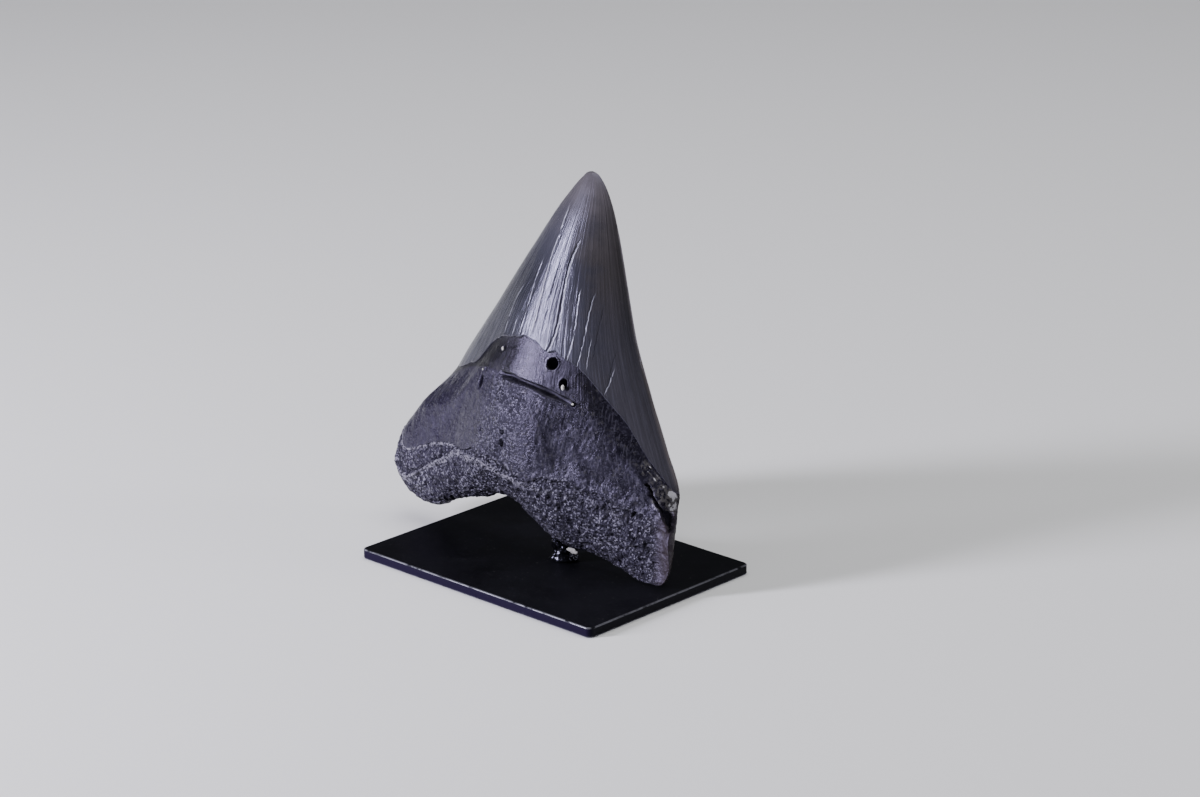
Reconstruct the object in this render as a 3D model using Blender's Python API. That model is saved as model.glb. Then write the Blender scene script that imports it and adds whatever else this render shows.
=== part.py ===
"""A fossil megalodon tooth glued to a small rectangular display plate, leaning back a little.

Metres, +Z up. The origin is the middle of the plate's underside, +X runs along the plate's long
side towards the tooth's narrower root lobe, and -Y is the side that the tooth's lingual face
(the convex one, which faced the tongue) looks to. The shapes are worked out in millimetres and
scaled to metres when a mesh is made.
"""

import math

import bmesh
import bpy
import mathutils
import numpy as np
from mathutils.bvhtree import BVHTree

MM = 0.001
GAP = 0.3  # left between pieces that touch in the real object

# ---- display plate: a 4 by 3 inch blank with rounded corners and eased edges
PLATE_LONG = 101.6
PLATE_SHORT = 75.4
PLATE_THICK = 3.4
PLATE_CORNER_R = 2.0
PLATE_EASE = 0.45
CORNER_SEGMENTS = 4
EASE_SEGMENTS = 2

# ---- support: a short post between plate and root, with a mound of adhesive round it
POST_X = 4.6
POST_Y = 0.4
POST_R = 2.0
POST_SIDES = 24
MOUND_WALL = [  # share of the height, radius
    (0.0, 4.2), (0.1, 4.5), (0.3, 4.4), (0.5, 4.1), (0.72, 4.2), (0.9, 4.6), (1.0, 4.5),
]
MOUND_LUMP = 0.35
MOUND_FOOT_LUMP_SHARE = 0.4
MOUND_TOP_GAP = 0.36
MOUND_SIDES = 32

# ---- tooth outline in its own plane: (X, Z) of the tip, both cutting edges with the sides of
# the root below them, and the root's lower rim from the broad lobe to the narrow one
TIP = (-4.8, 126.3)
NARROW_SIDE = [
    TIP, (-0.7, 124.5), (4.0, 117.7), (8.2, 108.6), (12.8, 96.5), (20.6, 75.7),
    (29.1, 59.6), (37.8, 44.3), (43.5, 34.4), (45.3, 26.8), (46.6, 17.4), (47.8, 10.7),
]
BROAD_SIDE = [
    TIP, (-9.0, 124.4), (-15.8, 116.2), (-25.2, 102.2), (-40.7, 77.8), (-52.6, 59.4),
    (-60.5, 46.1), (-67.0, 37.2), (-72.9, 28.9), (-76.1, 19.9),
]
LOWER_RIM = [
    BROAD_SIDE[-1], (-72.8, 12.0), (-64.4, 7.9), (-53.8, 7.5), (-42.5, 12.6), (-30.9, 16.3),
    (-21.4, 19.7), (-13.3, 18.9), (-3.5, 13.3), (6.0, 9.0), (16.1, 8.3), (26.3, 6.7),
    (33.5, 4.5), (40.1, 4.1), (45.6, 5.3), NARROW_SIDE[-1],
]
# the tooth leans back: millimetres towards +Y for each millimetre above this height
LEAN = 0.13
LEAN_FROM = 9.0

# ---- lines across the tooth: share of the way from tip to rim, against the place s across it,
# from -1 at the broad lobe's side to 1 at the narrow lobe's side
ENAMEL_LINGUAL = [
    (-1.0, 0.70), (-0.8, 0.600), (-0.70, 0.566), (-0.62, 0.518), (-0.47, 0.496), (-0.3, 0.493),
    (0.0, 0.491), (0.22, 0.487), (0.32, 0.480), (0.45, 0.496), (0.53, 0.507), (0.64, 0.538),
    (0.76, 0.572), (0.85, 0.629), (0.91, 0.692), (0.95, 0.765), (1.0, 0.82),
]
NECK_LINGUAL = [
    (-1.0, 0.725), (-0.83, 0.625), (-0.63, 0.575), (-0.3, 0.590), (-0.1, 0.599), (0.03, 0.600),
    (0.16, 0.592), (0.27, 0.589), (0.38, 0.592), (0.48, 0.604), (0.61, 0.618), (0.73, 0.636),
    (0.80, 0.662), (0.87, 0.71), (1.0, 0.835),
]
LEDGE_LINGUAL = [
    (-1.0, 0.955), (-0.79, 0.935), (-0.69, 0.882), (-0.6, 0.842), (-0.4, 0.842),
    (-0.15, 0.866), (0.05, 0.88), (0.2, 0.854), (0.33, 0.806), (0.48, 0.82), (0.68, 0.826),
    (0.87, 0.842), (1.0, 0.90),
]
ENAMEL_LABIAL = [(-1.0, 0.70), (-0.7, 0.66), (0.0, 0.63), (0.6, 0.675), (1.0, 0.82)]
NECK_LABIAL = [(-1.0, 0.725), (-0.7, 0.685), (0.0, 0.655), (0.6, 0.70), (1.0, 0.835)]
LEDGE_LABIAL = [(-1.0, 0.955), (-0.6, 0.90), (0.0, 0.88), (0.6, 0.88), (1.0, 0.90)]

# ---- thickness: how far the faces stand from the plane of the cutting edges and of the root
EDGE_Y = 8.0
TIP_EXTRA_Y = 1.0
CROWN_FRONT = 17.5
CROWN_BACK = 2.6
CROWN_FRONT_POWER = 1.7
CROWN_BACK_POWER = 1.4
SWELL_FULL_AT = 0.6
SWELL_POWER = 0.9
BACK_FULL_AT = 0.5
BACK_POWER = 0.7
ROOT_Y = 2.0
ROOT_Y_SHIFT = 3.0
ROOT_FRONT = 9.5
ROOT_BOSS = 6.9
BOSS_AT_NECK = 0.8
BOSS_GROWS = (0.55, 0.80)
ROOT_BACK = 7.0
ROOT_BACK_BOSS = 2.5
ROOT_POWER = 0.8
BOSS_CENTRE = -0.05
BOSS_WIDTH = 0.45
BOSS_DRAWN_IN = 0.45
BOSS_DRAWN_IN_FROM = 0.7
SHIFT_FROM = 0.6
NECK_BLEND = 0.12
NECK_LATE_SHARE = 0.5  # over the face's middle this much of the blend waits for the neck line
NECK_LATE_ROWS = (-0.005, 0.09)
NECK_LATE_MIDDLE = 0.1
NECK_LATE_REACH = (0.75, 0.40)
RIM_START = 0.84
SAG_POWER = 1.2

# ---- relief of the surface
ENAMEL_STEP = 0.6
ENAMEL_STEP_HALF = 0.003
ENAMEL_FADE_AT_TIP = 0.2
ENAMEL_EDGE_FADE = 1.6
BACK_STEP_SHARE = 0.6
ROOT_LIP = 0.5
ROOT_LIP_HALF = 0.003
ROOT_LIP_LENGTH = 0.1
LEDGE_DROP = 0.8
LEDGE_ABOVE = 0.003
LEDGE_BELOW = 0.004
VALLEY = (7.3, 44.7, 5.0, 13.0, 1.3)  # X, Z, half widths in X and Z, depth
SWELL = (21.4, 44.0, 6.5, 12.0, -0.9)
LUMP_HEIGHT = 0.22
LUMP_BACK_SHIFT = 40.0

# ---- mesh: rows down the tooth between those lines, and columns round it
LINE_ROWS = (0.0, 0.5, 0.6, 0.84, 1.0)
ROW_COUNTS = (27, 4, 13, 9)
STEP_ROW = 0.006
TIP_CROWDING = 1.6
FRONT_COLUMNS = 42
BACK_COLUMNS = 24

# ---- holes in the lingual face: X, Z, half width, half height, depth
NUTRIENT_HOLES = [
    (-0.5, 68.6, 1.75, 1.75, 2.8),
    (4.4, 62.9, 1.2, 1.6, 2.0),
    (8.9, 57.2, 0.75, 0.7, 1.1),
    (-21.5, 69.3, 0.8, 0.9, 1.3),
    (-29.9, 56.7, 0.7, 2.1, 1.8),
    (-28.6, 61.0, 0.5, 0.7, 1.0),
    (-24.6, 43.1, 0.55, 1.1, 1.2),
    (-13.4, 45.1, 0.7, 0.75, 1.2),
    (-13.4, 41.6, 0.75, 1.2, 1.4),
]
HOLE_SEGMENTS = 12
HOLE_RINGS = 8

# ---- split beside the narrow lobe's shoulder: X, Y, Z, radius along its length
SPLIT = [
    (37.1, 1.5, 35.5, 0.35), (39.4, 1.2, 33.1, 0.7), (41.7, 1.6, 31.0, 0.9),
    (43.5, 2.5, 29.2, 1.2), (44.8, 3.2, 26.7, 1.7), (45.8, 4.3, 23.7, 0.9),
]


def smooth(low, high, x):
    """Cubic ramp from 0 at low to 1 at high."""
    x = np.clip((x - low) / (high - low), 0.0, 1.0)
    return x * x * (3.0 - 2.0 * x)


def hermite(knots, values, x):
    """Piecewise cubic through (knots, values), with slopes weighted by the neighbouring spans."""
    knots = np.asarray(knots, float)
    values = np.asarray(values, float)
    span = np.diff(knots)
    slope = np.diff(values, axis=0) / (span[:, None] if values.ndim > 1 else span)
    wide = span[:, None] if values.ndim > 1 else span
    tangent = np.empty_like(values)
    tangent[1:-1] = (slope[:-1] * wide[1:] + slope[1:] * wide[:-1]) / (wide[1:] + wide[:-1])
    tangent[0] = slope[0]
    tangent[-1] = slope[-1]
    if values.ndim > 1:
        tangent[0] = 1.5 * slope[0] - 0.5 * tangent[1]
        tangent[-1] = 1.5 * slope[-1] - 0.5 * tangent[-2]
    x = np.clip(np.asarray(x, float), knots[0], knots[-1])
    i = np.clip(np.searchsorted(knots, x, side="right") - 1, 0, len(knots) - 2)
    u = (x - knots[i]) / span[i]
    h = span[i]
    if values.ndim > 1:
        u = u[..., None]
        h = h[..., None]
    start = (2 * u**3 - 3 * u**2 + 1) * values[i] + (u**3 - 2 * u**2 + u) * h * tangent[i]
    end = (3 * u**2 - 2 * u**3) * values[i + 1] + (u**3 - u**2) * h * tangent[i + 1]
    return start + end


def along(points, share):
    """Point at a share of the length of a smooth curve through the points."""
    points = np.asarray(points, float)
    knots = np.r_[0.0, np.cumsum(np.linalg.norm(np.diff(points, axis=0), axis=1))]
    return hermite(knots / knots[-1], points, share)


def across(line, s):
    """Height of one of the lines across the tooth at the place s."""
    line = np.asarray(line)
    return hermite(line[:, 0], line[:, 1], s)


def outline_point(s, t):
    """(X, Z) in the tooth's plane: the two sides are joined by a chord at each share t of their
    length, and the chord sags by degrees into the shape of the lower rim."""
    u = ((s + 1.0) / 2.0)[..., None]
    broad = along(BROAD_SIDE, t)
    narrow = along(NARROW_SIDE, t)
    chord = (1.0 - u) * np.array(BROAD_SIDE[-1]) + u * np.array(NARROW_SIDE[-1])
    sag = along(LOWER_RIM, u[..., 0]) - chord
    weight = (smooth(0.0, 1.0, t) ** SAG_POWER)[..., None]
    return (1.0 - u) * broad + u * narrow + weight * sag


def lumps(x, z):
    """Shallow unevenness of the root: crossed waves a centimetre or so long, from -1 to 1."""
    first = np.sin(0.62 * x + 0.9 * np.sin(0.21 * z)) * np.sin(0.55 * z + 1.3)
    second = np.sin(0.33 * x - 0.41 * z + 2.1)
    return 0.6 * first + 0.4 * second


def hump(x, z, place):
    """Gaussian bump: place holds its centre, its two half widths and its depth."""
    return place[4] * np.exp(-(((x - place[0]) / place[2]) ** 2) - ((z - place[1]) / place[3]) ** 2)


def tooth_surface(angle, t, front):
    """Surface point for the angle round the section (0 at the narrow lobe's edge, a quarter turn
    at the middle of the lingual face) and the share t of the way from tip to rim. Each face
    stands off the edges' plane by a power of the sine, so the crown is a lens and the root is a
    rounded bar. The root closes at its rim as a quarter ellipse. The whole tooth leans back by
    LEAN times the height."""
    s = np.cos(angle)
    e = np.abs(np.sin(angle))
    plane = outline_point(s, t)
    x, z = plane[..., 0], plane[..., 1]
    enamel = np.where(front, across(ENAMEL_LINGUAL, s), across(ENAMEL_LABIAL, s))
    neck = np.where(front, across(NECK_LINGUAL, s), across(NECK_LABIAL, s))
    ledge = np.where(front, across(LEDGE_LINGUAL, s), across(LEDGE_LABIAL, s))
    early = smooth(enamel - 0.005, enamel + NECK_BLEND, t)
    late = smooth(neck + NECK_LATE_ROWS[0], neck + NECK_LATE_ROWS[1], t)
    late = (1.0 - NECK_LATE_SHARE) * smooth(enamel, neck, t) + NECK_LATE_SHARE * late
    central = smooth(*NECK_LATE_REACH, np.abs(s - NECK_LATE_MIDDLE)) * front
    root = early + (late - early) * central
    swell = np.sin(np.clip(t / SWELL_FULL_AT, 0.0, 1.0) * math.pi / 2) ** SWELL_POWER
    swell_back = np.clip(t / BACK_FULL_AT, 0.0, 1.0) ** BACK_POWER
    edge_y = EDGE_Y + TIP_EXTRA_Y * (1.0 - t)
    crown_front = edge_y - CROWN_FRONT * swell * e**CROWN_FRONT_POWER
    crown_back = edge_y + CROWN_BACK * swell_back * e**CROWN_BACK_POWER
    boss = np.exp(-(((s - BOSS_CENTRE) / BOSS_WIDTH) ** 2))
    closing = np.sqrt(np.clip(1.0 - np.clip((t - RIM_START) / (1.0 - RIM_START), 0, 1) ** 2, 0, 1))
    middle = ROOT_Y - ROOT_Y_SHIFT * boss * smooth(SHIFT_FROM, 1.0, t)
    drawn_in = 1.0 - BOSS_DRAWN_IN * smooth(BOSS_DRAWN_IN_FROM, 1.0, t)
    grown = BOSS_AT_NECK + (1.0 - BOSS_AT_NECK) * smooth(*BOSS_GROWS, t)
    forward = ROOT_FRONT + ROOT_BOSS * boss * grown * drawn_in
    relief = hump(x, z, VALLEY) + hump(x, z, SWELL)
    relief = relief + LUMP_HEIGHT * lumps(x, z) * (1.0 - 0.5 * e)
    relief = relief + LEDGE_DROP * smooth(ledge - LEDGE_ABOVE, ledge + LEDGE_BELOW, t)
    lip = smooth(neck - ROOT_LIP_HALF, neck + ROOT_LIP_HALF, t)
    relief = relief - ROOT_LIP * lip * np.exp(-(t - neck) / ROOT_LIP_LENGTH)
    front_relief = relief * root * np.minimum(1.0, 2.0 * e) * closing
    root_front = middle - forward * e**ROOT_POWER * closing + front_relief
    back_relief = LUMP_HEIGHT * lumps(x + LUMP_BACK_SHIFT, z) * root * e * closing
    root_back = middle + (ROOT_BACK + ROOT_BACK_BOSS * boss) * e**ROOT_POWER * closing + back_relief
    cap = ENAMEL_STEP * np.minimum(1.0, ENAMEL_EDGE_FADE * e)
    cap = cap * smooth(enamel + ENAMEL_STEP_HALF, enamel - ENAMEL_STEP_HALF, t)
    cap = cap * smooth(0.0, ENAMEL_FADE_AT_TIP, t)
    y_front = crown_front * (1.0 - root) + root_front * root - cap
    y_back = crown_back * (1.0 - root) + root_back * root + BACK_STEP_SHARE * cap
    y = np.where(front, y_front, y_back) + LEAN * (z - LEAN_FROM)
    return np.stack([x, y, z], axis=-1)


def row_levels():
    """Row positions: evenly spread between the lines, with a close pair of rows astride each."""
    rows = []
    for i, count in enumerate(ROW_COUNTS):
        low, high = LINE_ROWS[i], LINE_ROWS[i + 1]
        low = low + (STEP_ROW if i else 0.0)
        high = high - (STEP_ROW if i < len(ROW_COUNTS) - 1 else 0.0)
        share = np.linspace(0.0, 1.0, count)
        if i == 0:
            share = share**TIP_CROWDING
        if i == len(ROW_COUNTS) - 1:
            share = np.sin(share * math.pi / 2)
        rows.extend(low + (high - low) * share)
    return np.array(rows)


def tooth_arrays():
    """Points and faces of the closed tooth: a fan at the tip, quads down to the rim, where the
    lingual and labial sides share one line of points."""
    front_angles = np.linspace(0.0, math.pi, FRONT_COLUMNS + 1)[:-1]
    back_angles = np.linspace(math.pi, 2.0 * math.pi, BACK_COLUMNS + 1)[:-1]
    angles = np.r_[front_angles, back_angles]
    columns = len(angles)
    is_front = np.arange(columns) <= FRONT_COLUMNS
    rows = row_levels()[1:-1]
    angle, row = np.meshgrid(angles, rows)
    front = np.broadcast_to(is_front, angle.shape)
    s = np.cos(angle)
    lines = [np.zeros_like(s)]
    for lingual, labial in (
        (ENAMEL_LINGUAL, ENAMEL_LABIAL), (NECK_LINGUAL, NECK_LABIAL), (LEDGE_LINGUAL, LEDGE_LABIAL),
    ):
        lines.append(np.where(front, across(lingual, s), across(labial, s)))
    lines.append(np.ones_like(s))
    t = np.zeros_like(s)
    for i in range(len(LINE_ROWS) - 1):
        share = (row - LINE_ROWS[i]) / (LINE_ROWS[i + 1] - LINE_ROWS[i])
        inside = (share >= 0.0) & (share <= 1.0)
        t = np.where(inside, lines[i] + (lines[i + 1] - lines[i]) * share, t)
    body = tooth_surface(angle, t, front).reshape(-1, 3)
    tip = tooth_surface(np.array([math.pi / 2]), np.array([0.0]), np.array([True]))
    rim_angles = front_angles[1:]
    rim_ends = np.r_[0.0, rim_angles, math.pi]
    rim = tooth_surface(rim_ends, np.ones_like(rim_ends), np.ones(len(rim_ends), bool))
    points = np.concatenate([tip, body, rim])
    rim_start = 1 + len(body)

    faces = [(0, 1 + j, 1 + (j + 1) % columns) for j in range(columns)]
    for i in range(len(rows) - 1):
        for j in range(columns):
            a = 1 + i * columns + j
            b = 1 + i * columns + (j + 1) % columns
            faces.append((a, a + columns, b + columns, b))
    last = 1 + (len(rows) - 1) * columns
    back_share = np.linspace(0.0, 1.0, BACK_COLUMNS + 1)
    back_rim = np.rint((1.0 - back_share) * FRONT_COLUMNS).astype(int)
    for j in range(columns):
        a = last + j
        b = last + (j + 1) % columns
        if j < FRONT_COLUMNS:
            faces.append((a, rim_start + j, rim_start + j + 1, b))
        else:
            begin = back_rim[j - FRONT_COLUMNS]
            end = back_rim[j - FRONT_COLUMNS + 1]
            chain = [rim_start + k for k in range(begin, end - 1, -1)]
            faces.append((a, *chain, b))
    return points, faces


def material(name, colour, roughness, metallic=0.0, coat=0.0):
    """Principled material of one sub-part."""
    made = bpy.data.materials.new(name)
    made.use_nodes = True
    shader = made.node_tree.nodes["Principled BSDF"]
    shader.inputs["Base Color"].default_value = (*colour, 1.0)
    shader.inputs["Roughness"].default_value = roughness
    shader.inputs["Metallic"].default_value = metallic
    shader.inputs["Coat Weight"].default_value = coat
    return made


def new_object(name, mesh, collection, look=None):
    """Object of the mesh, placed in the collection with its material."""
    made = bpy.data.objects.new(name, mesh)
    collection.objects.link(made)
    if look:
        mesh.materials.append(look)
    return made


def mesh_of(name, points, faces):
    """Closed mesh in metres from points in millimetres, its faces turned outward."""
    mesh = bpy.data.meshes.new(name)
    mesh.from_pydata((np.asarray(points) * MM).tolist(), [], [tuple(map(int, f)) for f in faces])
    return outward(mesh)


def outward(mesh):
    """The mesh with its faces turned outward."""
    work = bmesh.new()
    work.from_mesh(mesh)
    bmesh.ops.recalc_face_normals(work, faces=work.faces)
    if work.calc_volume(signed=True) < 0.0:
        bmesh.ops.reverse_faces(work, faces=work.faces)
    work.to_mesh(mesh)
    work.free()
    return mesh


def plate_mesh():
    """Rectangular plate with rounded upright corners, then eased upper and lower edges."""
    work = bmesh.new()
    bmesh.ops.create_cube(work, size=1.0)
    size = mathutils.Vector((PLATE_LONG * MM, PLATE_SHORT * MM, PLATE_THICK * MM))
    bmesh.ops.scale(work, vec=size, verts=work.verts)
    bmesh.ops.translate(work, vec=(0.0, 0.0, PLATE_THICK * MM / 2), verts=work.verts)
    upright = [e for e in work.edges if abs(e.verts[0].co.z - e.verts[1].co.z) > 0.5 * MM]
    bmesh.ops.bevel(
        work, geom=upright, offset=PLATE_CORNER_R * MM, segments=CORNER_SEGMENTS,
        profile=0.5, affect="EDGES",
    )
    level = [
        e for e in work.edges
        if abs(e.verts[0].co.z - e.verts[1].co.z) < 0.1 * MM and abs(e.calc_face_angle(0.0)) > 1.0
    ]
    bmesh.ops.bevel(
        work, geom=level, offset=PLATE_EASE * MM, segments=EASE_SEGMENTS,
        profile=0.5, affect="EDGES",
    )
    mesh = bpy.data.meshes.new("base_plate")
    work.to_mesh(mesh)
    work.free()
    return outward(mesh)


def underside(tree, x, y):
    """Height in millimetres of the root's underside over the plate at (x, y)."""
    start = mathutils.Vector((x * MM, y * MM, 0.0))
    found = tree.ray_cast(start, mathutils.Vector((0.0, 0.0, 1.0)))
    return found[0].z / MM


def post_mesh(tree):
    """Round post from the plate up to the root, its upper end following the root's underside."""
    low = PLATE_THICK + GAP
    turn = np.linspace(0.0, 2.0 * math.pi, POST_SIDES + 1)[:-1]
    ring = np.stack([POST_X + POST_R * np.cos(turn), POST_Y + POST_R * np.sin(turn)], -1)
    high = min(underside(tree, x, y) for x, y in ring) - GAP
    foot = [(x, y, low) for x, y in ring]
    head = [(x, y, high) for x, y in ring]
    faces = [tuple(range(POST_SIDES)), tuple(range(POST_SIDES, 2 * POST_SIDES))]
    for j in range(POST_SIDES):
        k = (j + 1) % POST_SIDES
        faces.append((j, k, POST_SIDES + k, POST_SIDES + j))
    return mesh_of("support_post", foot + head, faces)


def mound_mesh(tree):
    """Ring of adhesive round the post: its outline swells at the foot and under the root, with
    slow lumps round it, and its upper face follows the root's underside."""
    turn = np.linspace(0.0, 2.0 * math.pi, MOUND_SIDES + 1)[:-1]
    low = PLATE_THICK + GAP
    inner = POST_R + GAP
    lump = MOUND_LUMP * (np.sin(3 * turn + 1.0) + 0.6 * np.sin(5 * turn))
    rings = []
    for share, radius in MOUND_WALL:
        lumpy = MOUND_FOOT_LUMP_SHARE + (1.0 - MOUND_FOOT_LUMP_SHARE) * share
        rings.append([(share, radius + d * lumpy) for d in lump])
    rings.append([(1.0, (MOUND_WALL[-1][1] + inner) / 2)] * MOUND_SIDES)
    rings.append([(1.0, inner)] * MOUND_SIDES)
    rings.append([(0.0, inner)] * MOUND_SIDES)
    points = []
    for ring in rings:
        for angle, (share, radius) in zip(turn, ring):
            x = POST_X + radius * math.cos(angle)
            y = POST_Y + radius * math.sin(angle)
            top = underside(tree, x, y) - MOUND_TOP_GAP
            points.append((x, y, low + (top - low) * share))
    faces = []
    for i in range(len(rings)):
        for j in range(MOUND_SIDES):
            k = (j + 1) % MOUND_SIDES
            n = (i + 1) % len(rings)
            faces.append((
                i * MOUND_SIDES + j, i * MOUND_SIDES + k,
                n * MOUND_SIDES + k, n * MOUND_SIDES + j,
            ))
    return mesh_of("adhesive_mound", points, faces)


def add_hole_cutters(tree, collection):
    """An ellipsoid at each hole of the lingual face, centred where the face is."""
    for number, (x, z, wide, high, deep) in enumerate(NUTRIENT_HOLES):
        start = mathutils.Vector((x * MM, -PLATE_LONG * MM, z * MM))
        face = tree.ray_cast(start, mathutils.Vector((0.0, 1.0, 0.0)))[0]
        work = bmesh.new()
        bmesh.ops.create_uvsphere(
            work, u_segments=HOLE_SEGMENTS, v_segments=HOLE_RINGS, radius=1.0,
        )
        bmesh.ops.rotate(
            work, matrix=mathutils.Matrix.Rotation(math.pi / 2, 3, "X"), verts=work.verts,
        )
        bmesh.ops.scale(work, vec=(wide * MM, deep * MM, high * MM), verts=work.verts)
        bmesh.ops.translate(work, vec=face, verts=work.verts)
        mesh = bpy.data.meshes.new(f"hole_{number:02d}")
        work.to_mesh(mesh)
        work.free()
        add_cutter(outward(mesh), collection)


def add_split_cutter(collection):
    """A tube of changing radius along the split beside the narrow lobe's shoulder."""
    curve = bpy.data.curves.new("split_path", "CURVE")
    curve.dimensions = "3D"
    curve.bevel_depth = MM
    curve.bevel_resolution = 1
    curve.use_fill_caps = True
    path = curve.splines.new("POLY")
    path.points.add(len(SPLIT) - 1)
    for point, (x, y, z, radius) in zip(path.points, SPLIT):
        point.co = (x * MM, y * MM, z * MM, 1.0)
        point.radius = radius
    guide = bpy.data.objects.new("split_path", curve)
    collection.objects.link(guide)
    bpy.context.view_layer.update()
    tube = bpy.data.meshes.new_from_object(guide.evaluated_get(bpy.context.evaluated_depsgraph_get()))
    work = bmesh.new()
    work.from_mesh(tube)
    bmesh.ops.remove_doubles(work, verts=work.verts, dist=0.00001)
    work.to_mesh(tube)
    work.free()
    bpy.data.objects.remove(guide)
    add_cutter(outward(tube), collection)


def add_cutter(mesh, collection):
    """Hidden helper object of the mesh."""
    made = new_object(mesh.name + "_cutter", mesh, collection)
    made.hide_render = True
    made.display_type = "WIRE"


def build():
    for old in list(bpy.data.objects):
        bpy.data.objects.remove(old)
    scene = bpy.context.scene
    parts = bpy.data.collections.new("megalodon_tooth_on_plate")
    scene.collection.children.link(parts)
    cutters = bpy.data.collections.new("cutters")
    scene.collection.children.link(cutters)
    cutters.hide_render = True

    bone = material("fossil_root_and_enamel", (0.055, 0.055, 0.062), 0.42, coat=0.2)
    dark_metal = material("blackened_plate", (0.02, 0.02, 0.022), 0.38, metallic=0.6)
    post_metal = material("blackened_post", (0.03, 0.03, 0.03), 0.5, metallic=0.8)
    glue = material("clear_dark_adhesive", (0.05, 0.05, 0.045), 0.12, coat=0.6)

    points, faces = tooth_arrays()
    tooth_mesh = mesh_of("tooth", points, faces)
    tree = BVHTree.FromPolygons(
        [v.co for v in tooth_mesh.vertices], [tuple(p.vertices) for p in tooth_mesh.polygons],
    )
    tooth = new_object("tooth", tooth_mesh, parts, bone)
    add_hole_cutters(tree, cutters)
    add_split_cutter(cutters)
    cut = tooth.modifiers.new("holes_and_split", "BOOLEAN")
    cut.operation = "DIFFERENCE"
    cut.operand_type = "COLLECTION"
    cut.collection = cutters
    cut.solver = "EXACT"

    new_object("base_plate", plate_mesh(), parts, dark_metal)
    new_object("support_post", post_mesh(tree), parts, post_metal)
    new_object("adhesive_mound", mound_mesh(tree), parts, glue)


build()
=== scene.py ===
"""Fossil megalodon tooth glued upright on a blackened display plate: its worn surfaces, their
finishes, the floor, the lights and the camera. Shapes are worked out in millimetres and put
into each mesh in metres."""

import math

import bpy
import numpy as np
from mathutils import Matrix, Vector


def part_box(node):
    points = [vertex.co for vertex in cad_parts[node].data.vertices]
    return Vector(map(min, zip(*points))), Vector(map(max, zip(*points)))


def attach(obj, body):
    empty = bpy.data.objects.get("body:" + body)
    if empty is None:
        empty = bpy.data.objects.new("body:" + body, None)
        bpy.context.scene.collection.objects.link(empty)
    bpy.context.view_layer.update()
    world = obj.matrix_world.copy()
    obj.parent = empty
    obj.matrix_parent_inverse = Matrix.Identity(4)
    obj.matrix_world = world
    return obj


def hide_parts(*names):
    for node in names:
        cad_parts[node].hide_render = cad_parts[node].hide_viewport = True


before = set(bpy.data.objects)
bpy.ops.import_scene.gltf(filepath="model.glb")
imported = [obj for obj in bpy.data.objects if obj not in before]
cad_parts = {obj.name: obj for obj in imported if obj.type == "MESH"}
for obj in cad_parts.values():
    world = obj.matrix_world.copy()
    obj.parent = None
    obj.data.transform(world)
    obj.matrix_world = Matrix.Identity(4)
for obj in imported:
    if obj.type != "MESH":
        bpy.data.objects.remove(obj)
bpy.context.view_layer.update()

MM = 0.001

# ---- tooth outline in its own plane: (X, Z) of the tip, both sides and the lower rim
TIP = (-5.4, 126.25)
NARROW_SIDE = [
    TIP, (-2.9, 125.7), (-0.8, 124.1), (4.0, 117.7), (8.2, 108.6), (12.8, 96.5), (20.6, 75.7),
    (29.1, 59.6), (37.8, 44.3), (43.5, 34.4), (45.3, 26.8), (46.6, 17.4), (47.8, 10.7),
]
BROAD_SIDE = [
    TIP, (-7.5, 125.6), (-9.3, 123.9), (-15.8, 116.2), (-25.2, 102.2), (-40.7, 77.8),
    (-52.6, 59.4), (-60.5, 46.1), (-67.0, 37.2), (-72.9, 28.9), (-76.1, 19.9),
]
LOWER_RIM = [
    BROAD_SIDE[-1], (-72.8, 12.0), (-64.4, 7.9), (-53.8, 7.5), (-42.5, 12.6), (-30.9, 16.3),
    (-21.4, 19.7), (-13.3, 18.9), (-3.5, 13.3), (6.0, 9.0), (16.1, 8.3), (26.3, 6.7),
    (33.5, 4.5), (40.1, 4.1), (45.6, 5.3), NARROW_SIDE[-1],
]
# the tooth leans back: millimetres towards +Y for each millimetre above this height
LEAN = 0.13
LEAN_FROM = 9.0

# ---- lines across the tooth: share of the way from tip to rim against the place s across it,
# over the lingual face and over the labial one
ENAMEL_LINGUAL = [
    (-1.0, 0.70), (-0.8, 0.600), (-0.70, 0.566), (-0.62, 0.518), (-0.47, 0.496), (-0.3, 0.493),
    (0.0, 0.491), (0.22, 0.487), (0.32, 0.480), (0.45, 0.496), (0.53, 0.507), (0.64, 0.538),
    (0.76, 0.580), (0.844, 0.633), (0.871, 0.668), (0.896, 0.704), (0.917, 0.729), (0.95, 0.776),
    (0.967, 0.801), (1.0, 0.83),
]
NECK_LINGUAL = [
    (-1.0, 0.725), (-0.83, 0.625), (-0.63, 0.575), (-0.36, 0.586), (-0.27, 0.594),
    (-0.18, 0.613), (-0.08, 0.625), (0.02, 0.623), (0.12, 0.611), (0.22, 0.600), (0.32, 0.594),
    (0.42, 0.597), (0.52, 0.607), (0.61, 0.618), (0.73, 0.632), (0.80, 0.652), (0.86, 0.690),
    (0.90, 0.732), (0.94, 0.785), (0.97, 0.818), (1.0, 0.845),
]
FOOT_LINGUAL = [
    (-1.0, 0.90), (-0.88, 0.893), (-0.805, 0.852), (-0.72, 0.808), (-0.66, 0.792),
    (-0.57, 0.789), (-0.40, 0.822), (-0.17, 0.850), (-0.05, 0.868), (0.07, 0.876),
    (0.2, 0.850), (0.33, 0.808), (0.48, 0.818), (0.68, 0.826), (0.87, 0.842), (1.0, 0.90),
]
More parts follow.
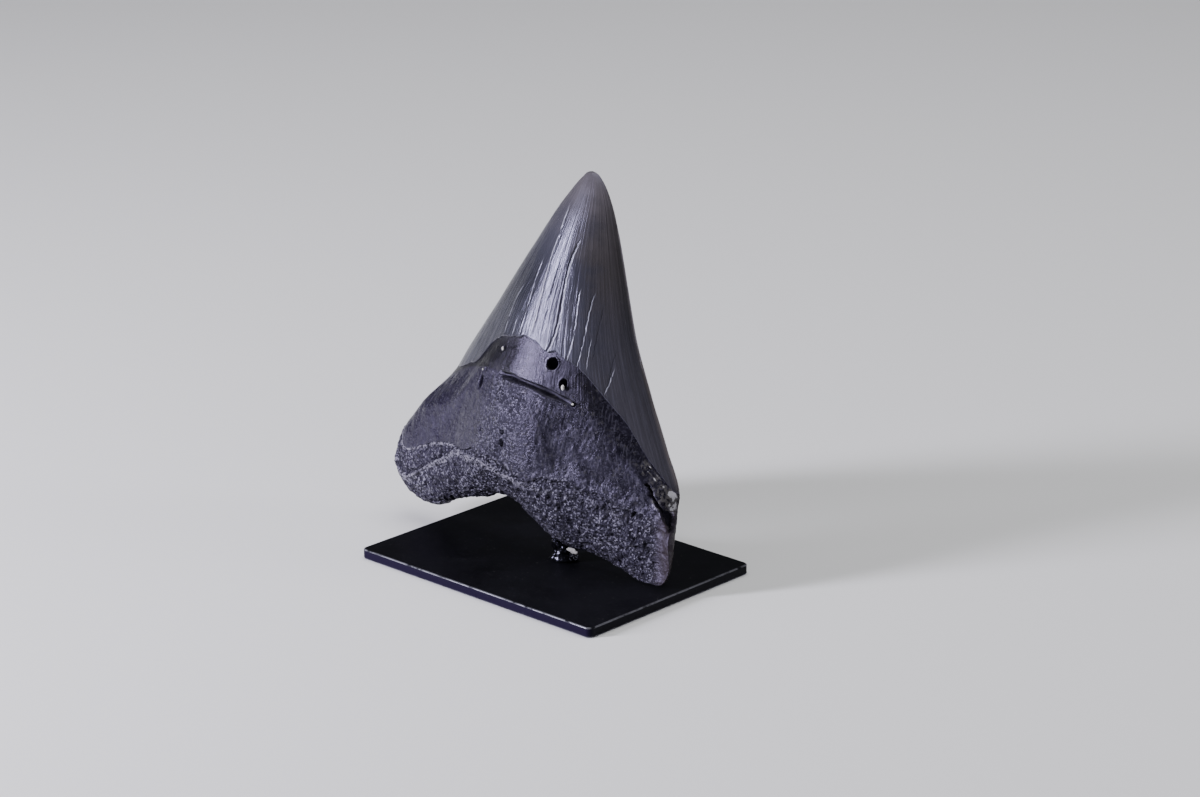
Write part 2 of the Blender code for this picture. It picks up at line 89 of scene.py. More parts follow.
CREST_LINGUAL = [
    (-1.0, 0.97), (-0.9, 0.966), (-0.813, 0.950), (-0.724, 0.912), (-0.678, 0.875),
    (-0.585, 0.838), (-0.5, 0.822), (-0.352, 0.842), (-0.176, 0.870), (-0.08, 0.893),
    (0.07, 0.896), (0.173, 0.866), (0.25, 0.850), (0.35, 0.830), (0.48, 0.838),
    (0.68, 0.848), (0.87, 0.872), (1.0, 0.94),
]
ENAMEL_LABIAL = [(-1.0, 0.70), (-0.7, 0.66), (0.0, 0.63), (0.6, 0.675), (1.0, 0.82)]
NECK_LABIAL = [(-1.0, 0.725), (-0.7, 0.685), (0.0, 0.655), (0.6, 0.70), (1.0, 0.835)]
FOOT_LABIAL = [(-1.0, 0.90), (-0.85, 0.912), (-0.6, 0.90), (0.0, 0.88), (0.6, 0.88), (1.0, 0.90)]
CREST_LABIAL = [(-1.0, 0.97), (-0.6, 0.93), (0.0, 0.905), (0.6, 0.91), (1.0, 0.94)]
ENAMEL_LINE = (ENAMEL_LINGUAL, ENAMEL_LABIAL)
NECK_LINE = (NECK_LINGUAL, NECK_LABIAL)
FOOT_LINE = (FOOT_LINGUAL, FOOT_LABIAL)
CREST_LINE = (CREST_LINGUAL, CREST_LABIAL)

# ---- thickness of crown and root, in millimetres, and the powers of e that round their faces
EDGE_Y = 8.0
TIP_EXTRA_Y = 1.0
CROWN_FRONT = 17.5
CROWN_BACK = 2.6
CROWN_FRONT_POWER = 1.7
CROWN_BACK_POWER = 1.4
ROOT_Y = 2.0
ROOT_Y_SHIFT = 3.0
ROOT_FRONT = 9.5
ROOT_BOSS = 6.5
BOSS_AT_NECK = 0.8
ROOT_BACK = 7.0
ROOT_BACK_BOSS = 2.5
ROOT_POWER = 0.8
BOSS_CENTRE = -0.05
BOSS_WIDTH = 0.45
NECK_BLEND = 0.12
RIM_START = 0.84
ENAMEL_STEP = 0.6
ROOT_LIP = 0.35
GROOVE_DEPTH = 1.9
GROOVE_LIP = 0.42
FOOT_DROP = 0.45
FOOT_DROP_MIDDLE = 0.35
# X, Z, half width, half height and depth of a valley and a swell of the lingual face
VALLEY = (7.3, 44.7, 5.0, 13.0, 0.3)
SWELL = (21.4, 44.0, 6.5, 12.0, -0.1)
# the narrow half sweeps back: X where it starts and ends, distance, share at the back
SWEEP = (-2.0, 53.0, 6.2, 0.7)
LUMP_HEIGHT = 0.22
TO_MM = 125.0  # length of a full run from tip to rim, for distances measured along it

# ---- holes in the lingual face: X, Z, half width, half height, depth
NUTRIENT_HOLES = [
    (-0.5, 68.6, 1.75, 1.75, 2.8),
    (4.4, 62.9, 1.2, 1.6, 2.0),
    (8.9, 57.2, 0.75, 0.7, 1.1),
    (-21.5, 69.3, 0.8, 0.9, 1.3),
    (-29.9, 56.7, 1.0, 2.2, 2.0),
    (-28.6, 61.0, 0.5, 0.7, 1.0),
    (-24.6, 43.1, 0.65, 1.2, 1.4),
    (-13.4, 45.1, 0.85, 0.85, 1.5),
    (-13.4, 41.6, 0.90, 1.4, 1.8),
]
# ---- split beside the narrow lobe's shoulder: X, Z and half width along it, in millimetres
SPLIT = [
    (35.8, 35.8, 0.20), (38.0, 32.6, 0.60), (40.0, 30.5, 0.75), (41.9, 28.7, 0.55),
    (43.6, 27.3, 0.95), (45.0, 24.9, 1.00), (46.0, 22.3, 0.40),
]

# ---- pits and raised patches of the worn rim: X, Z, half widths, tilt in degrees, depth
RIM_MARKS = [
    (-54.6, 15.9, 0.5, 1.7, 5.0, -0.9), (5.1, 27.2, 0.9, 1.5, 0.0, -1.0),
    (10.4, 34.6, 1.0, 1.0, 0.0, -0.9), (19.8, 30.9, 2.3, 0.55, -10.0, -1.0),
    (33.3, 26.1, 0.45, 2.2, -30.0, -1.0), (-47.1, 28.9, 1.6, 0.5, -20.0, -0.8),
    (0.0, 32.9, 0.8, 0.9, 0.0, -0.7), (-7.0, 32.3, 1.0, 0.5, 20.0, -0.6),
    (7.0, 25.1, 2.0, 2.4, 20.0, 0.75), (6.6, 19.1, 1.6, 1.6, 0.0, 0.55),
    (24.7, 20.1, 1.8, 1.4, 0.0, 0.55), (31.6, 18.4, 1.6, 1.2, 0.0, 0.5),
    (36.4, 17.5, 1.3, 1.1, 0.0, 0.5), (-16.0, 31.2, 2.2, 1.0, -25.0, 0.5),
    (-7.8, 31.0, 1.6, 0.8, -20.0, 0.45), (-43.3, 29.4, 0.9, 0.7, 0.0, 0.5),
]

# ---- cracks of the enamel: X = a + b w + c w^2 + d w^3 with w = (Z - 90) / 20, the heights
# between which each runs, its half width, its depth, and the side of its raised lip
LINGUAL_CRACKS = [
    (-9.49, 2.31, -0.88, 0.0, 108.0, 116.5, 0.26, 0.10, -1.0),
    (-8.36, -0.32, -1.48, 2.92, 75.5, 108.2, 0.21, 0.36, -1.0),
    (-1.31, -1.49, -0.17, 3.95, 70.6, 107.2, 0.22, 0.36, 1.0),
    (-5.23, 0.12, 0.30, 2.58, 76.5, 100.6, 0.13, 0.18, 0.0),
    (-5.52, 2.34, -0.99, 0.0, 76.0, 93.6, 0.12, 0.15, 0.0),
    (-13.31, 0.93, 1.08, 4.72, 74.0, 100.5, 0.11, 0.12, -1.0),
    (-18.64, 15.1, 17.97, 7.63, 73.2, 90.8, 0.10, 0.10, -1.0),
    (-9.47, 4.64, 2.24, 0.0, 74.5, 86.0, 0.15, 0.20, 0.0),
    (7.50, 0.84, 4.04, 3.10, 68.0, 91.8, 0.13, 0.16, 1.0),
    (3.64, -1.20, 3.05, 4.05, 68.0, 93.0, 0.14, 0.18, 1.0),
    (8.77, -1.54, 0.0, 0.0, 67.5, 78.1, 0.10, 0.10, 1.0),
    (10.81, 0.02, 1.11, 0.0, 70.0, 88.9, 0.09, 0.08, 0.0),
    (21.32, 9.26, 4.90, 0.0, 63.1, 75.0, 0.09, 0.08, 0.0),
    (9.67, -13.9, -6.1, 0.0, 60.5, 69.5, 0.13, 0.14, 1.0),
    (-13.78, -2.74, -5.61, 0.0, 73.9, 82.8, 0.12, 0.15, 0.0),
    (-20.35, -10.11, -10.17, 0.0, 73.1, 80.5, 0.10, 0.12, -1.0),
]
LABIAL_CRACKS = [
    (-14.0, 4.6, 0.6, 0.4, 58.0, 101.0, 0.16, 0.20, 1.0),
    (-0.5, -0.6, -0.6, 0.9, 54.0, 110.0, 0.20, 0.26, -1.0),
    (10.5, -2.4, 0.8, 0.6, 52.0, 88.0, 0.13, 0.15, 0.0),
    (-25.0, 8.6, 1.2, 0.0, 50.0, 77.0, 0.13, 0.15, 0.0),
    (-7.0, 1.6, 0.4, 0.0, 56.0, 80.0, 0.12, 0.13, 0.0),
    (19.0, -4.5, 1.0, 0.0, 48.0, 67.0, 0.11, 0.11, 0.0),
]
CRACK_MIDDLE = 90.0
CRACK_SCALE = 20.0
CRACK_WAVES = [(1.7, 9.0, 0.06), (4.1, 5.0, 0.04)]  # turn with height, shift with a, reach

# ---- grids: columns over the lingual and labial faces, rows down each stretch
CROWN_COLUMNS = (320, 100)
CROWN_ROWS = 226
BODY_COLUMNS = (400, 90)
BODY_ROWS = (6, 52, 136)
RIM_COLUMNS = (520, 104)
RIM_ROWS = (5, 30, 114)
ROW_CROWDING = 1.12  # above 1, the rows of the crown draw together at the tip
COLUMN_EVENNESS = 0.5

# ---- small forms of the surfaces, in millimetres
EDGE_TOOTH_PITCH = 1.15
EDGE_TOOTH_DEPTH = 0.10
EDGE_NICK = (70.0, 0.9, 0.55)  # Z, half height, depth
STRIPE_PITCH = 0.75
THREAD_PITCH = 0.9
WRINKLE_TILT = math.radians(19.0)
TURNED_IN = (0.25, 0.9, 1.8)  # depths of the rows that turn in behind the body's foot
# Y ahead of the lean, and Z, of the inner points that close the crown, the neck and the rim
CROWN_CORE = (4.0, 66.0)
NECK_CORE = (3.0, 60.0)
ROOT_CORE = (2.0, 34.0)


def smooth(low, high, x):
    """Cubic ramp from 0 at low to 1 at high."""
    x = np.clip((x - low) / (high - low), 0.0, 1.0)
    return x * x * (3.0 - 2.0 * x)


def quarter(x):
    """Quarter circle: rises from 0 at x = 0, steeply at first, to 1 at x = 1."""
    return np.sqrt(1.0 - (1.0 - np.clip(x, 0.0, 1.0)) ** 2)


def bell(x, width):
    """Gaussian of x: 1 in the middle and 1/e at the width."""
    return np.exp(-((x / width) ** 2))


def hermite(knots, values, x):
    """Piecewise cubic through (knots, values), with slopes weighted by the neighbouring spans."""
    knots = np.asarray(knots, float)
    values = np.asarray(values, float)
    span = np.diff(knots)
    wide = span[:, None] if values.ndim > 1 else span
    slope = np.diff(values, axis=0) / wide
    tangent = np.empty_like(values)
    tangent[1:-1] = (slope[:-1] * wide[1:] + slope[1:] * wide[:-1]) / (wide[1:] + wide[:-1])
    tangent[0] = slope[0]
    tangent[-1] = slope[-1]
    if values.ndim > 1:
        tangent[0] = 1.5 * slope[0] - 0.5 * tangent[1]
        tangent[-1] = 1.5 * slope[-1] - 0.5 * tangent[-2]
    x = np.clip(np.asarray(x, float), knots[0], knots[-1])
    i = np.clip(np.searchsorted(knots, x, side="right") - 1, 0, len(knots) - 2)
    u = (x - knots[i]) / span[i]
    h = span[i]
    if values.ndim > 1:
        u = u[..., None]
        h = h[..., None]
    start = (2 * u**3 - 3 * u**2 + 1) * values[i] + (u**3 - 2 * u**2 + u) * h * tangent[i]
    end = (3 * u**2 - 2 * u**3) * values[i + 1] + (u**3 - u**2) * h * tangent[i + 1]
    return start + end


def along(points, share):
    """Point at a share of the length of a smooth curve through the points."""
    points = np.asarray(points, float)
    knots = np.r_[0.0, np.cumsum(np.linalg.norm(np.diff(points, axis=0), axis=1))]
    return hermite(knots / knots[-1], points, share)


def line_at(line, s, front):
    """Height of one of the lines across the tooth at the place s, on each point's own face."""
    lingual, labial = (hermite(*np.transpose(face), s) for face in line)
    return np.where(front, lingual, labial)


def cloud(points, size, seed):
    """Smooth random height from -1 to 1: random values at the corners of cubes of the given size,
    blended across each cube by a quintic ramp."""
    place = points / size
    cell = np.floor(place).astype(np.int64)
    f = place - cell
    f = f * f * f * (f * (f * 6.0 - 15.0) + 10.0)
    total = np.zeros(points.shape[:-1])
    for corner in np.ndindex(2, 2, 2):
        n = cell + np.array(corner)
        h = (n[..., 0] * 73856093) ^ (n[..., 1] * 19349663) ^ (n[..., 2] * 83492791)
        h = (h ^ (seed * 668265263)) & 0x7FFFFFFF
        h = ((h ^ (h >> 13)) * 1274126177) & 0x7FFFFFFF
        h = (h ^ (h >> 15)) & 0xFFFFF
        weight = np.prod(np.where(np.array(corner) == 1, f, 1.0 - f), axis=-1)
        total += weight * (h / 0xFFFFF * 2.0 - 1.0)
    return total


def clouds(points, size, seed, layers=3):
    """Sum of clouds, each half the size and half the height of the one before."""
    return sum(cloud(points, size / 2**k, seed + 17 * k) / 2**k for k in range(layers))


def outline_point(s, t):
    """(X, Z) in the tooth's plane: the two sides are joined by a chord at each share t of their
    length, and the chord sags by degrees into the shape of the lower rim."""
    u = ((s + 1.0) / 2.0)[..., None]
    chord = (1.0 - u) * np.array(BROAD_SIDE[-1]) + u * np.array(NARROW_SIDE[-1])
    sag = along(LOWER_RIM, u[..., 0]) - chord
    weight = (smooth(0.0, 1.0, t) ** 1.2)[..., None]
    return (1.0 - u) * along(BROAD_SIDE, t) + u * along(NARROW_SIDE, t) + weight * sag


def lumps(x, z):
    """Shallow unevenness of the root: crossed waves a centimetre or so long, from -1 to 1."""
    first = np.sin(0.62 * x + 0.9 * np.sin(0.21 * z)) * np.sin(0.55 * z + 1.3)
    second = np.sin(0.33 * x - 0.41 * z + 2.1)
    return 0.6 * first + 0.4 * second


def hump(x, z, place):
    """Gaussian bump: place holds its centre, its two half widths and its depth."""
    return place[4] * bell(x - place[0], place[2]) * bell(z - place[1], place[3])


def lean(z):
    """How far back the leaning tooth is at the height Z."""
    return LEAN * (z - LEAN_FROM)


def inner_point(y, z):
    """A point inside the leaning tooth, above the middle of the plate's length."""
    return np.array([[0.0, y + lean(z), z]])


def crown_depth(e, t, front):
    """Y of the crown's dentine: a lens whose faces stand off the edges' plane by e to a power."""
    swell = np.sin(np.clip(t / 0.6, 0.0, 1.0) * math.pi / 2) ** 0.9
    edge_y = EDGE_Y + TIP_EXTRA_Y * (1.0 - t)
    ahead = edge_y - CROWN_FRONT * swell * e**CROWN_FRONT_POWER
    behind = edge_y + CROWN_BACK * np.clip(t / 0.5, 0.0, 1.0) ** 0.7 * e**CROWN_BACK_POWER
    return np.where(front, ahead, behind)


def boss_at(s):
    """How much of the root's boss there is at the place s."""
    return bell(s - BOSS_CENTRE, BOSS_WIDTH)


def groove_reach(s):
    """How far the neck's groove is cut at the place s: full over the middle, none at the sides."""
    return smooth(-0.26, -0.12, s) * smooth(0.50, 0.36, s)


def groove_relief(s, below):
    """Groove under the neck: it deepens slowly down the neck, comes back out steeply and ends in
    a narrow raised lip. Below is the distance past the neck line in millimetres."""
    cut = GROOVE_DEPTH * smooth(-2.1, -0.9, below) * smooth(0.5, -0.1, below)
    return (cut - GROOVE_LIP * bell(below - 1.0, 0.8)) * groove_reach(s)


def root_depth(s, e, t, front, x, z, blend, worn):
    """Y of the root: a rounded bar, thickest at its boss, which closes at the rim as a quarter
    ellipse. A valley, a swell, lumps and a lip under the neck's groove lie on it, its narrow half
    sweeps back, and where it is worn the surface lies lower."""
    neck = line_at(NECK_LINE, s, front)
    boss = boss_at(s)
    closing = quarter(1.0 - (t - RIM_START) / (1.0 - RIM_START))
    near_edges = np.minimum(1.0, 2.0 * e) * closing
    middle = ROOT_Y - ROOT_Y_SHIFT * boss * smooth(0.6, 1.0, t)
    grown = BOSS_AT_NECK + (1.0 - BOSS_AT_NECK) * smooth(0.55, 0.80, t)
    forward = ROOT_FRONT + ROOT_BOSS * boss * grown * (1.0 - 0.45 * smooth(0.7, 1.0, t))
    relief = hump(x, z, VALLEY) + hump(x, z, SWELL)
    relief = relief + LUMP_HEIGHT * lumps(x, z) * (1.0 - 0.5 * e)
    relief = relief + worn * (FOOT_DROP + FOOT_DROP_MIDDLE * bell(s, 0.3))
    relief = relief - ROOT_LIP * smooth(neck - 0.006, neck + 0.006, t) * np.exp(-(t - neck) / 0.1)
    swept = SWEEP[2] * smooth(SWEEP[0], SWEEP[1], x) * near_edges
    ahead = middle - forward * e**ROOT_POWER * closing + relief * blend * near_edges + swept
    behind = middle + (ROOT_BACK + ROOT_BACK_BOSS * boss) * e**ROOT_POWER * closing
    behind = behind + SWEEP[3] * swept - 0.6 * worn * FOOT_DROP * near_edges
    behind = behind + LUMP_HEIGHT * lumps(x + 40.0, z) * blend * e * closing
    return np.where(front, ahead, behind)


def column_angles(front_count, back_count):
    """Angles round the section: s runs as a blend of a cosine and a straight line, so columns are
    close at the edges and even across the faces. Returns the angles and which are lingual."""
    def turn(u):
        """Angle at the share u of the way across a face."""
        s = (1.0 - COLUMN_EVENNESS) * np.cos(math.pi * u) + COLUMN_EVENNESS * (1.0 - 2.0 * u)
        return np.arccos(np.clip(s, -1.0, 1.0))
    ahead = turn(np.arange(front_count) / front_count)
    behind = 2.0 * math.pi - turn(1.0 - np.arange(back_count) / back_count)
    return np.r_[ahead, behind], np.arange(front_count + back_count) <= front_count


def grid_normals(points):
    """Unit normals of a grid that closes on itself across its columns, pointing away from the
    tooth's middle: the cross product of the differences along the columns and down the rows."""
    around = np.roll(points, -1, axis=1) - np.roll(points, 1, axis=1)
    normal = np.cross(np.gradient(points, axis=0), around)
    normal /= np.maximum(np.linalg.norm(normal, axis=-1, keepdims=True), 1e-9)
    outward = np.sum(normal * (points - points.mean(axis=(0, 1))))
    return -normal if outward < 0.0 else normal


def fan(first, columns, middle, ahead=True):
    """Triangles from the points of a closed row to a middle point, wound either way."""
    here = first + np.arange(columns)
    wrap = first + (np.arange(columns) + 1) % columns
    middle = np.full(columns, middle)
    return np.stack([middle, here, wrap] if ahead else [here, middle, wrap], -1)


def quads(rows, columns, first=0):
    """Faces of a grid that closes on itself across its columns, as an array of corner numbers."""
    i, j = np.meshgrid(np.arange(rows - 1), np.arange(columns), indexing="ij")
    a = first + i * columns + j
    b = first + i * columns + (j + 1) % columns
    return np.stack([a, a + columns, b + columns, b], axis=-1).reshape(-1, 4)


def closed_sheet(rows, columns):
    """Faces of a grid that closes on itself across its columns, with a fan at either end: point 0
    comes before the grid and one more point after it."""
    last = 1 + (rows - 1) * columns
    return [
        fan(1, columns, 0), quads(rows, columns, 1), fan(last, columns, last + columns, False),
    ]


def per_point(fields, turned_in):
    """Each grid of values as one value per point, where the end rows' values also go to the rows
    that turn in and to the fans' middles."""
    return {
        name: np.r_[grid[0, 0], grid.ravel(), np.tile(grid[-1], turned_in), grid[-1, 0]]
        for name, grid in fields.items()
    }


def signed_volume(mesh):
    """Volume inside the mesh, negative where its faces point inwards."""
    mesh.calc_loop_triangles()
    points = np.empty(len(mesh.vertices) * 3)
    mesh.vertices.foreach_get("co", points)
    corners = np.empty(len(mesh.loop_triangles) * 3, np.int32)
    mesh.loop_triangles.foreach_get("vertices", corners)
    p = points.reshape(-1, 3)[corners.reshape(-1, 3)]
    return float(np.einsum("ij,ij->i", p[:, 0], np.cross(p[:, 1], p[:, 2])).sum() / 6.0)


def build_mesh(name, points, faces, fields=None):
    """Smoothly shaded mesh object from points in millimetres and arrays of faces, with named
    values per point."""
    mesh = bpy.data.meshes.new(name)
    corners = np.concatenate([part.ravel() for part in faces]).astype(np.int32)
    sizes = np.concatenate([np.full(len(part), part.shape[1]) for part in faces])
    mesh.vertices.add(len(points))
    mesh.vertices.foreach_set("co", (points * MM).astype(np.float32).ravel())
    mesh.loops.add(len(corners))
    mesh.loops.foreach_set("vertex_index", corners)
    mesh.polygons.add(len(sizes))
    mesh.polygons.foreach_set("loop_start", np.r_[0, np.cumsum(sizes)[:-1]].astype(np.int32))
    mesh.update(calc_edges=True)
    mesh.validate()
    for field, values in (fields or {}).items():
        layer = mesh.attributes.new(field, "FLOAT", "POINT")
        layer.data.foreach_set("value", np.asarray(values, np.float32).ravel())
    if signed_volume(mesh) < 0.0:
        mesh.flip_normals()
    mesh.polygons.foreach_set("use_smooth", np.full(len(mesh.polygons), True))
    made = bpy.data.objects.new(name, mesh)
    bpy.context.scene.collection.objects.link(made)
    return made


def solid_box(node):
    """Lowest and highest corner, in millimetres, of the solid that a piece stands for."""
    return [np.array(corner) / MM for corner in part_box(node)]


def tooth_mesh(name, points, faces, fields):
    """Mesh object of a part of the tooth, held inside the box of the tooth's solid."""
    low, high = solid_box("tooth")
    return build_mesh(name, np.clip(points, low + 0.01, high - 0.01), faces, fields)


def enamel_edge(s, front):
    """Lower edge of the enamel, with the small steps where it has flaked."""
    flat = np.stack([s * 40.0, np.where(front, 0.0, 30.0), np.zeros_like(s)], -1)
    ragged = 0.0035 * clouds(flat, 3.0, 5) * np.sqrt(np.clip(1.0 - s * s, 0.0, 1.0))
    return line_at(ENAMEL_LINE, s, front) + ragged


def crack_line(z, crack):
    """X of a crack's centre at the height Z: a cubic in w, and sines that make it waver."""
    w = (z - CRACK_MIDDLE) / CRACK_SCALE
    line = crack[0] + w * (crack[1] + w * (crack[2] + w * crack[3]))
    return line + sum(
        reach * np.sin(turn * z + shift * crack[0]) for turn, shift, reach in CRACK_WAVES
    )


def crack_relief(x, z, cracks):
    """Sum over the cracks of a groove of Gaussian section and a low lip at one side of it."""
    relief = np.zeros_like(x)
    for crack in cracks:
        low, high, half, depth, side = crack[4:]
        w = (z - CRACK_MIDDLE) / CRACK_SCALE
        slope = (crack[1] + w * (2.0 * crack[2] + w * 3.0 * crack[3])) / CRACK_SCALE
        gap = (x - crack_line(z, crack)) / np.sqrt(1.0 + slope * slope)
        ends = smooth(low, low + 2.0, z) * smooth(high, high - 3.0, z)
        lip = 0.06 * abs(side) * bell(gap - side * 2.0 * half, 1.2 * half)
        relief += (lip - 0.7 * depth * bell(gap, half)) * ends
    return relief


def edge_bites(points, s, e, z, fade):
    """How far each point near a cutting edge lies inwards: a sine down the edge for its teeth,
    worn low by a cloud, and one nick in the narrow side."""
    down = np.cumsum(np.r_[0.0, np.linalg.norm(np.diff(points[:, 0], axis=0), axis=1)])
    wear = 0.5 + 0.5 * cloud(np.stack([down, down * 0, down * 0], -1), 5.0, 31)
    teeth = 0.5 + 0.5 * np.sin(2.0 * math.pi / EDGE_TOOTH_PITCH * down)
    bite = EDGE_TOOTH_DEPTH * teeth * (0.3 + wear)
    nick = EDGE_NICK[2] * bell(z - EDGE_NICK[0], EDGE_NICK[1]) * (s > 0.0)
    return np.where(s > 0.0, 1.0, -1.0) * smooth(0.16, 0.0, e) * (bite[:, None] * fade + nick)


def crown_enamel():
    """Enamel cap. Rows run from the tip to the enamel's lower edge as shares of that way; the cap
    stands off the dentine by ENAMEL_STEP times a ramp that vanishes at the cutting edges. Below
    its edge one more ring tucks in under it, and a fan closes it inside the tooth."""
    angle, is_front = column_angles(*CROWN_COLUMNS)
    share = np.linspace(0.0, 1.0, CROWN_ROWS)[1:] ** ROW_CROWDING
    angle, share = np.meshgrid(angle, share)
    front = np.broadcast_to(is_front, angle.shape)
    s = np.cos(angle)
    e = np.abs(np.sin(angle))
    t = enamel_edge(s, front) * share
    plane = outline_point(s, t)
    x, z = plane[..., 0], plane[..., 1]
    y = crown_depth(e, t, front) + lean(z)
    to_edge = (1.0 - share) * np.maximum(t, 0.05) / np.maximum(share, 0.05) * 150.0
    cap = ENAMEL_STEP * np.minimum(1.0, 1.6 * e) * smooth(0.0, 0.2, t)
    cap = cap * (0.45 + 0.55 * quarter(to_edge / 0.45))
    points = np.stack([x, np.where(front, y - cap, y + 0.6 * cap), z], axis=-1)
    fade = smooth(0.0, 0.06, t)
    wave = 0.05 * clouds(points * np.array([1.0, 1.0, 0.25]), 5.0, 11)
    fibres = 0.035 * cloud(np.stack([s * 62.0, t * 6.0, e * 2.0], -1), 1.0, 23)
    cracks = np.where(
        front, crack_relief(x, z, LINGUAL_CRACKS), crack_relief(x, z, LABIAL_CRACKS))
    push = (wave + fibres) * fade + cracks * smooth(0.05, 0.2, e)
    points = points + grid_normals(points) * push[..., None]
    points[..., 0] -= edge_bites(points, s, e, z, fade)

    rows, columns = angle.shape
    flat = points.reshape(-1, 3)
    tip = np.array([[TIP[0], EDGE_Y + TIP_EXTRA_Y + lean(TIP[1]), TIP[1]]])
    middle = inner_point(*CROWN_CORE)
    tuck = flat[-columns:] + (middle - flat[-columns:]) * 0.035
    points = np.concatenate([tip, flat, tuck, middle])
    fields = {
        "across": s, "down": t, "edge": smooth(0.22, 0.02, e), "low": smooth(2.5, 0.0, to_edge),
        "lingual": front * 1.0,
    }
    faces = closed_sheet(rows + 1, columns)
    return tooth_mesh("crown_enamel", points, faces, per_point(fields, 1))


def distance_to_split(x, z):
    """Distance to the split's centre line, less its half width there, in millimetres."""
    path = np.array(SPLIT)
    best = np.full(x.shape, 99.0)
    for a, b in zip(path[:-1], path[1:]):
        run = b[:2] - a[:2]
        u = np.clip(((x - a[0]) * run[0] + (z - a[1]) * run[1]) / (run @ run), 0.0, 1.0)
        gap = np.hypot(x - a[0] - u * run[0], z - a[1] - u * run[1])
        best = np.minimum(best, gap - (a[2] + u * (b[2] - a[2])))
    return best


def rows_between(stops, counts):
    """Shares t of the way from tip to rim for each row and column: rows evenly spread between
    successive lines across the tooth. Rows that end at the rim crowd towards it as a sine does."""
    rows = [stops[0][None]]
    for k, count in enumerate(counts):
        part = np.linspace(0.0, 1.0, count + 1)[1:, None]
        if np.all(stops[k + 1] == 1.0):
            part = np.sin(part * math.pi / 2) ** 0.85
        rows.append(stops[k] + (stops[k + 1] - stops[k]) * part)
    return np.concatenate(rows)


def root_grid(angle, is_front, stops, counts, worn):
    """Undisturbed root surface between lines across it. Crown and root are blended under the
    enamel, later over the neck, and the groove is cut. Returns the shares t, the faces, the
    points, s, e and the normals."""
    t = rows_between(stops, counts)
    front = np.broadcast_to(is_front, t.shape)
    s = np.broadcast_to(np.cos(angle), t.shape)
    e = np.broadcast_to(np.abs(np.sin(angle)), t.shape)
    plane = outline_point(s, t)
    x, z = plane[..., 0], plane[..., 1]
    line = line_at(ENAMEL_LINE, s, front)
    neck = line_at(NECK_LINE, s, front)
    early = smooth(line - 0.005, line + NECK_BLEND, t)
    late = 0.5 * smooth(line, neck, t) + 0.5 * smooth(neck - 0.005, neck + 0.09, t)
    blend = early + (late - early) * smooth(0.75, 0.40, np.abs(s - 0.1)) * front
    y = crown_depth(e, t, front) * (1.0 - blend)
    y = y + root_depth(s, e, t, front, x, z, blend, worn) * blend + lean(z)
    strength = 0.8 + 0.35 * cloud(np.stack([x, z * 0.0, z * 0.5], -1), 5.0, 15)
    y = y + strength * groove_relief(s, (t - neck) * TO_MM + 0.4 * lumps(x, z)) * front
    points = np.stack([x, y, z], axis=-1)
    return t, front, points, s, e, grid_normals(points)


def wrinkles(points):
    """Long shallow wrinkles: a cloud drawn out along the height over the boss, and along a line
    that leans towards the broad lobe over the narrow lobe."""
    x, y, z = np.moveaxis(points, -1, 0)
    upright = cloud(np.stack([x / 0.9, y / 2.5, z / 5.0], -1), 1.0, 83)
    aside = (x * math.cos(WRINKLE_TILT) - z * math.sin(WRINKLE_TILT)) / 0.95
    down = (x * math.sin(WRINKLE_TILT) + z * math.cos(WRINKLE_TILT)) / 6.5
    leaning = cloud(np.stack([aside, y / 2.5, down], -1), 1.0, 89)
    leaning += 0.5 * cloud(np.stack([aside * 2.0, y, down * 1.6], -1), 1.0, 91)
    share = smooth(2.0, 14.0, x)
    return upright * (1.0 - share) + leaning * share


def drill_holes(points, front):
    """Push of the nutrient holes and of the split, and how much painted shade darkens each point
    inside them. A hole is a pit with steep walls and a faint raised rim."""
    x, z = points[..., 0], points[..., 2]
    push = np.zeros_like(x)
    dark = np.zeros_like(x)
    for hx, hz, wide, high, deep in NUTRIENT_HOLES:
        reach = np.hypot((x - hx) / wide, (z - hz) / high) + 0.08 * cloud(points, 0.9, 61)
        inside = smooth(1.08, 0.78, reach) * front
        # painted shade inside each hole
        dark = np.maximum(dark, inside * smooth(1.05, 0.65, reach))
        push += 0.10 * bell(reach - 1.22, 0.16) * front - deep * inside
    gap = distance_to_split(x + 0.45 * clouds(points, 1.6, 67), z) + 12.0 * (1.0 - front)
    # painted shade in the split
    split = smooth(0.15, -0.25, gap)
    return push - 1.5 * split, np.maximum(dark, split)


def chalk(x, y, z, s):
    """Where pale chips show beside the narrow lobe's shoulder: a sum of Gaussian spots, and
    threads that run side by side along the enamel's foot."""
    spots = [  # centre, half width, strength
        (37.8, 6.6, 37.5, 0.75, 0.9), (40.3, 7.4, 35.0, 0.75, 0.9), (42.6, 9.0, 33.4, 1.3, 0.8),
        (43.6, 9.0, 32.0, 1.4, 0.8), (44.9, 8.0, 29.0, 1.9, 0.8), (45.0, 5.7, 27.5, 1.0, 0.5),
        (41.0, 6.0, 32.0, 3.6, 0.42), (33.6, 5.0, 41.0, 2.0, 0.42),
    ]
    total = sum(
        strength * bell(np.sqrt((x - cx) ** 2 + (y - cy) ** 2 + (z - cz) ** 2), wide)
        for cx, cy, cz, wide, strength in spots
    )
    along_foot = 0.74 * x - 0.67 * z
    over_foot = 0.67 * x + 0.74 * z
    threads = smooth(0.35, 0.9, np.cos(over_foot * 2.0 * math.pi / THREAD_PITCH))
    threads = threads * bell(over_foot - 52.6, 0.9)
    total = total + 0.60 * threads * smooth(-3.0, -1.6, along_foot) * smooth(4.4, 3.0, along_foot)
    return np.clip(total, 0.0, 1.0) * smooth(0.8, 0.9, s)


